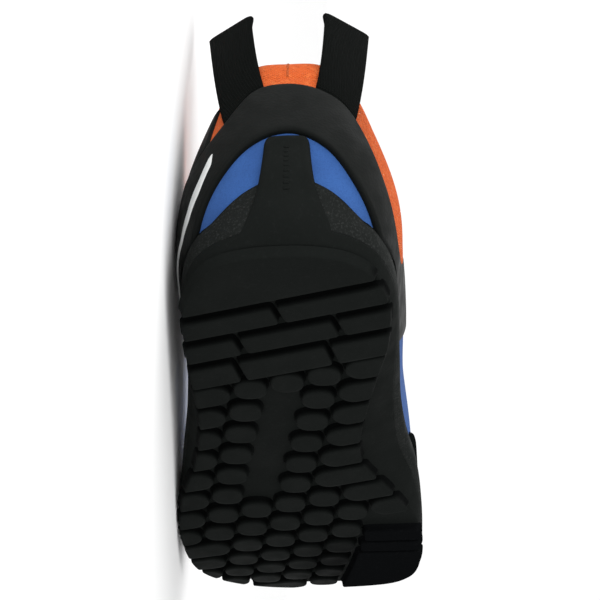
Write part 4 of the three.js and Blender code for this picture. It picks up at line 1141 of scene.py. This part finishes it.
def build_loop(name, side):
    """A doubled tape. Its outer leg follows the heel down and is tucked under the band's upper edge."""
    u = side * LOOP_RIB
    edge = skin(u, 1)
    away = outward(u)
    out = unit(np.array([away[0] + side * LOOP_TURN * away[1], away[1] - side * LOOP_TURN * away[0], 0]))
    along = np.array([-out[1], out[0], 0])
    across = np.linspace(-0.5, 0.5, 17) * WEBBING_WIDTH
    under = np.linspace(*LOOP_FEET[side], 17)
    top = COLLAR_HEIGHT + LOOP_RISE - edge[2]
    pad = UPPER_WALL + LAYER_GAP + PAD
    crown = ROLL + 2
    low = band_edge(0, under)
    on_heel = lambda z, off: skin(under, v_at_height(under, z)) * [1, 1, 0] + outward(under) * off + z[:, None] * TALL
    flat = lambda off, rise, wide, drift: (edge + along * (across * wide - side * (LOOP_SPLAY * rise + drift))[:, None]
                                           + out * off + TALL * rise)
    rows = [on_heel(low - 2.2, 0.5), on_heel(low - 0.4, 0.8)]
    start = on_heel(low + 0.9, 2.0)
    end = flat(-0.5, top - 3, 1, 0)
    for share in (0, 0.1, 0.2, 0.32, 0.45, 0.6, 0.75, 0.88, 1):
        rows.append(mix(start, end, share) + out * 1.1 * math.sin(math.pi * share ** 0.8))
    for leg in ((-0.55 * WEBBING, top - 0.9, 1, 0), (-1.05 * WEBBING, top - 0.1, 1, 0),
                (-1.55 * WEBBING, top - 0.9, 1, 0), (-0.2 * pad, mix(crown, top, 0.75), 0.93, 1.2),
                (-0.26 * pad, mix(crown, top, 0.45), 0.84, 3.0), (-0.36 * pad, crown + 2.4, 0.74, 4.2),
                (-0.5 * pad, crown + 0.1, 0.7, 4.6)):
        rows.append(flat(*leg))
    show(tape(f"strap_{name}", np.array(rows), WEBBING_FINISH, WEBBING * 0.94), "webbing", f"pull_loop_{name}")


def build_loops():
    build_loop("lateral", 1)
    build_loop("medial", -1)


def build_eyestays():
    for side, name in SIDES.items():
        places = mirror(side, spread(FACINGS_START, FACINGS_END, 60))
        piece = overlay(f"eyestay_{name}_skin", PANEL, places, lambda u: EYESTAY_LOW + 0 * u, np.ones_like, OVERLAY, 14)
        punch(piece, [side])
        show(piece, "black_synthetic", f"eyestay_{name}")


EYELET_FIRST = 13.4
EYELET_LAST = 20.6
EYELET_V = 0.925
EYELETS = [mix(EYELET_FIRST, EYELET_LAST, i / (EYELET_PAIRS - 1)) * STEP for i in range(EYELET_PAIRS)]


def eyelet_frame(side, u):
    u = mirror(side, u)
    centre = off_skin(u, EYELET_V, 0)
    normal = unit(off_skin(u, EYELET_V, 1) - centre)
    along = unit(np.cross(normal, [0, 0, 1.0]))
    return centre, normal, along, np.cross(normal, along)


def punch(piece, sides):
    """Cut the eyelet holes through a piece."""
    angles = turns(28)[:, None]
    rods = []
    for side in sides:
        for u in EYELETS:
            centre, normal, along, across = eyelet_frame(side, u)
            ring = (along * np.cos(angles) + across * np.sin(angles)) * EYELET_HOLE / 2
            rods.append(capped(np.stack([centre + ring - normal * 5, centre + ring + normal * 5])))
    cutter = make_object("eyelet_cutter", *join(rods), METAL)
    cut = piece.modifiers.new("holes", "BOOLEAN")
    cut.operation = "DIFFERENCE"
    cut.solver = "EXACT"
    cut.object = cutter
    shape = bpy.data.meshes.new_from_object(piece.evaluated_get(bpy.context.evaluated_depsgraph_get()))
    piece.modifiers.clear()
    piece.data = shape
    bpy.data.objects.remove(cutter)


def build_eyelets():
    low = LAYER_GAP + OVERLAY
    inner, outer = EYELET_HOLE / 2, EYELET_HOLE / 2 + EYELET_RING
    profile = np.array([(inner, -0.6), (inner, 0.9), (inner + 0.25, 1.35), (inner + 0.8, 1.5), (outer - 0.6, 1.3),
                        (outer - 0.1, 0.9), (outer, 0.5), (outer, -0.1), (inner + 0.6, -0.1), (inner + 0.4, -0.6)])
    angles = turns(40)[:, None]
    for side, name in SIDES.items():
        for i, u in enumerate(EYELETS):
            centre, normal, along, across = eyelet_frame(side, u)
            ring = along * np.cos(angles) + across * np.sin(angles)
            points = centre + normal * (low + profile[:, 1:]) + ring[:, None] * profile[:, :1]
            show(shell(f"ring_{name}_{i + 1}", points, METAL, closed=True), "eyelet_metal", f"eyelet_{name}_{i + 1}")


def build_lace():
    """Two strands that cross from eyelet to eyelet, over one facing and under the other, up to the top pair."""
    strands = []
    over = LAYER_GAP + OVERLAY + 1.5 + 0.5 * LACE
    under = -UPPER_WALL - 0.55 * LACE
    for first in SIDES:
        points = []
        side = first
        for i in range(EYELET_PAIRS - 1, -1, -1):
            u = mirror(side, EYELETS[i])
            if i == EYELET_PAIRS - 1:
                points.append((off_skin(u, 1, over) + off_skin(RIBS - u, 1, over)) / 2 + [0, 0, 0.6])
                legs = ((0.97, over), (EYELET_V, 0.5), (0.965, under))
            elif i:
                legs = ((0.975, under), (EYELET_V, 0.5), (0.965, over), (1, over - 0.3))
            else:
                legs = ((0.975, under), (EYELET_V, 0.5), (EYELET_V, over - 0.6))
            points += [off_skin(u, v, off) for v, off in legs]
            if i == 0:
                break
            start = off_skin(u, 1, over if i < EYELET_PAIRS - 1 else under)
            side = -side
            goal = off_skin(mirror(side, EYELETS[i - 1]), 1, under)
            points.append((start + goal) / 2 + [0, 0, 1.4 if first < 0 else 3.2])
        path = refine(np.array(points), 8)
        strands.append(tube(path, 0.46 * LACE, 0.4 * LACE))
    uvs = np.vstack([grid_uvs(strand) for strand in strands])
    show(make_object("lace_cord", *join(map(capped, strands)), LACE_FINISH, uvs), "lace_cord", "lace")


# Name, place in the shoe's frame, width in metres and watts
LAMPS = (("key", (60, -560, 60), 0.9, 3.4), ("side", (380, -120, -420), 0.9, 0.7), ("far", (330, -120, 420), 0.8, 1.2))


def build_room():
    """A pale floor and soft light from all round."""
    bpy.context.scene.view_settings.view_transform = "Standard"
    mesh = bpy.data.meshes.new("floor")
    mesh.from_pydata([(-6, -4, 0), (6, -4, 0), (6, 4, 0), (-6, 4, 0)], [], [(0, 1, 2, 3)])
    pale = bpy.data.materials.new("pale_floor")
    pale.use_nodes = True
    shader = pale.node_tree.nodes["Principled BSDF"]
    shader.inputs["Base Color"].default_value = (0.95, 0.95, 0.95, 1)
    shader.inputs["Roughness"].default_value = 0.9
    mesh.materials.append(pale)
    add("floor", mesh)
    world = bpy.data.worlds.new("studio")
    world.use_nodes = True
    background = world.node_tree.nodes["Background"]
    background.inputs["Color"].default_value = (1, 1, 1, 1)
    background.inputs["Strength"].default_value = 1.04
    bpy.context.scene.world = world
    for name, where, size, power in LAMPS:
        data = bpy.data.lights.new(name, "AREA")
        data.shape = "DISK"
        data.size = size
        data.energy = power
        lamp = add(name, data)
        start, goal = Vector(place(where)), Vector(place((0, 130, 40)))
        lamp.matrix_world = Matrix.Translation(start) @ (goal - start).to_track_quat("-Z", "Y").to_matrix().to_4x4()


for build in (build_upper, build_overlays, build_collar, build_tongue, build_insole, build_midsole, build_plate,
              build_lugs, build_rib, build_rib_marks, build_loops, build_eyestays, build_eyelets, build_stitches,
              build_strip, build_lace, build_room):
    build()
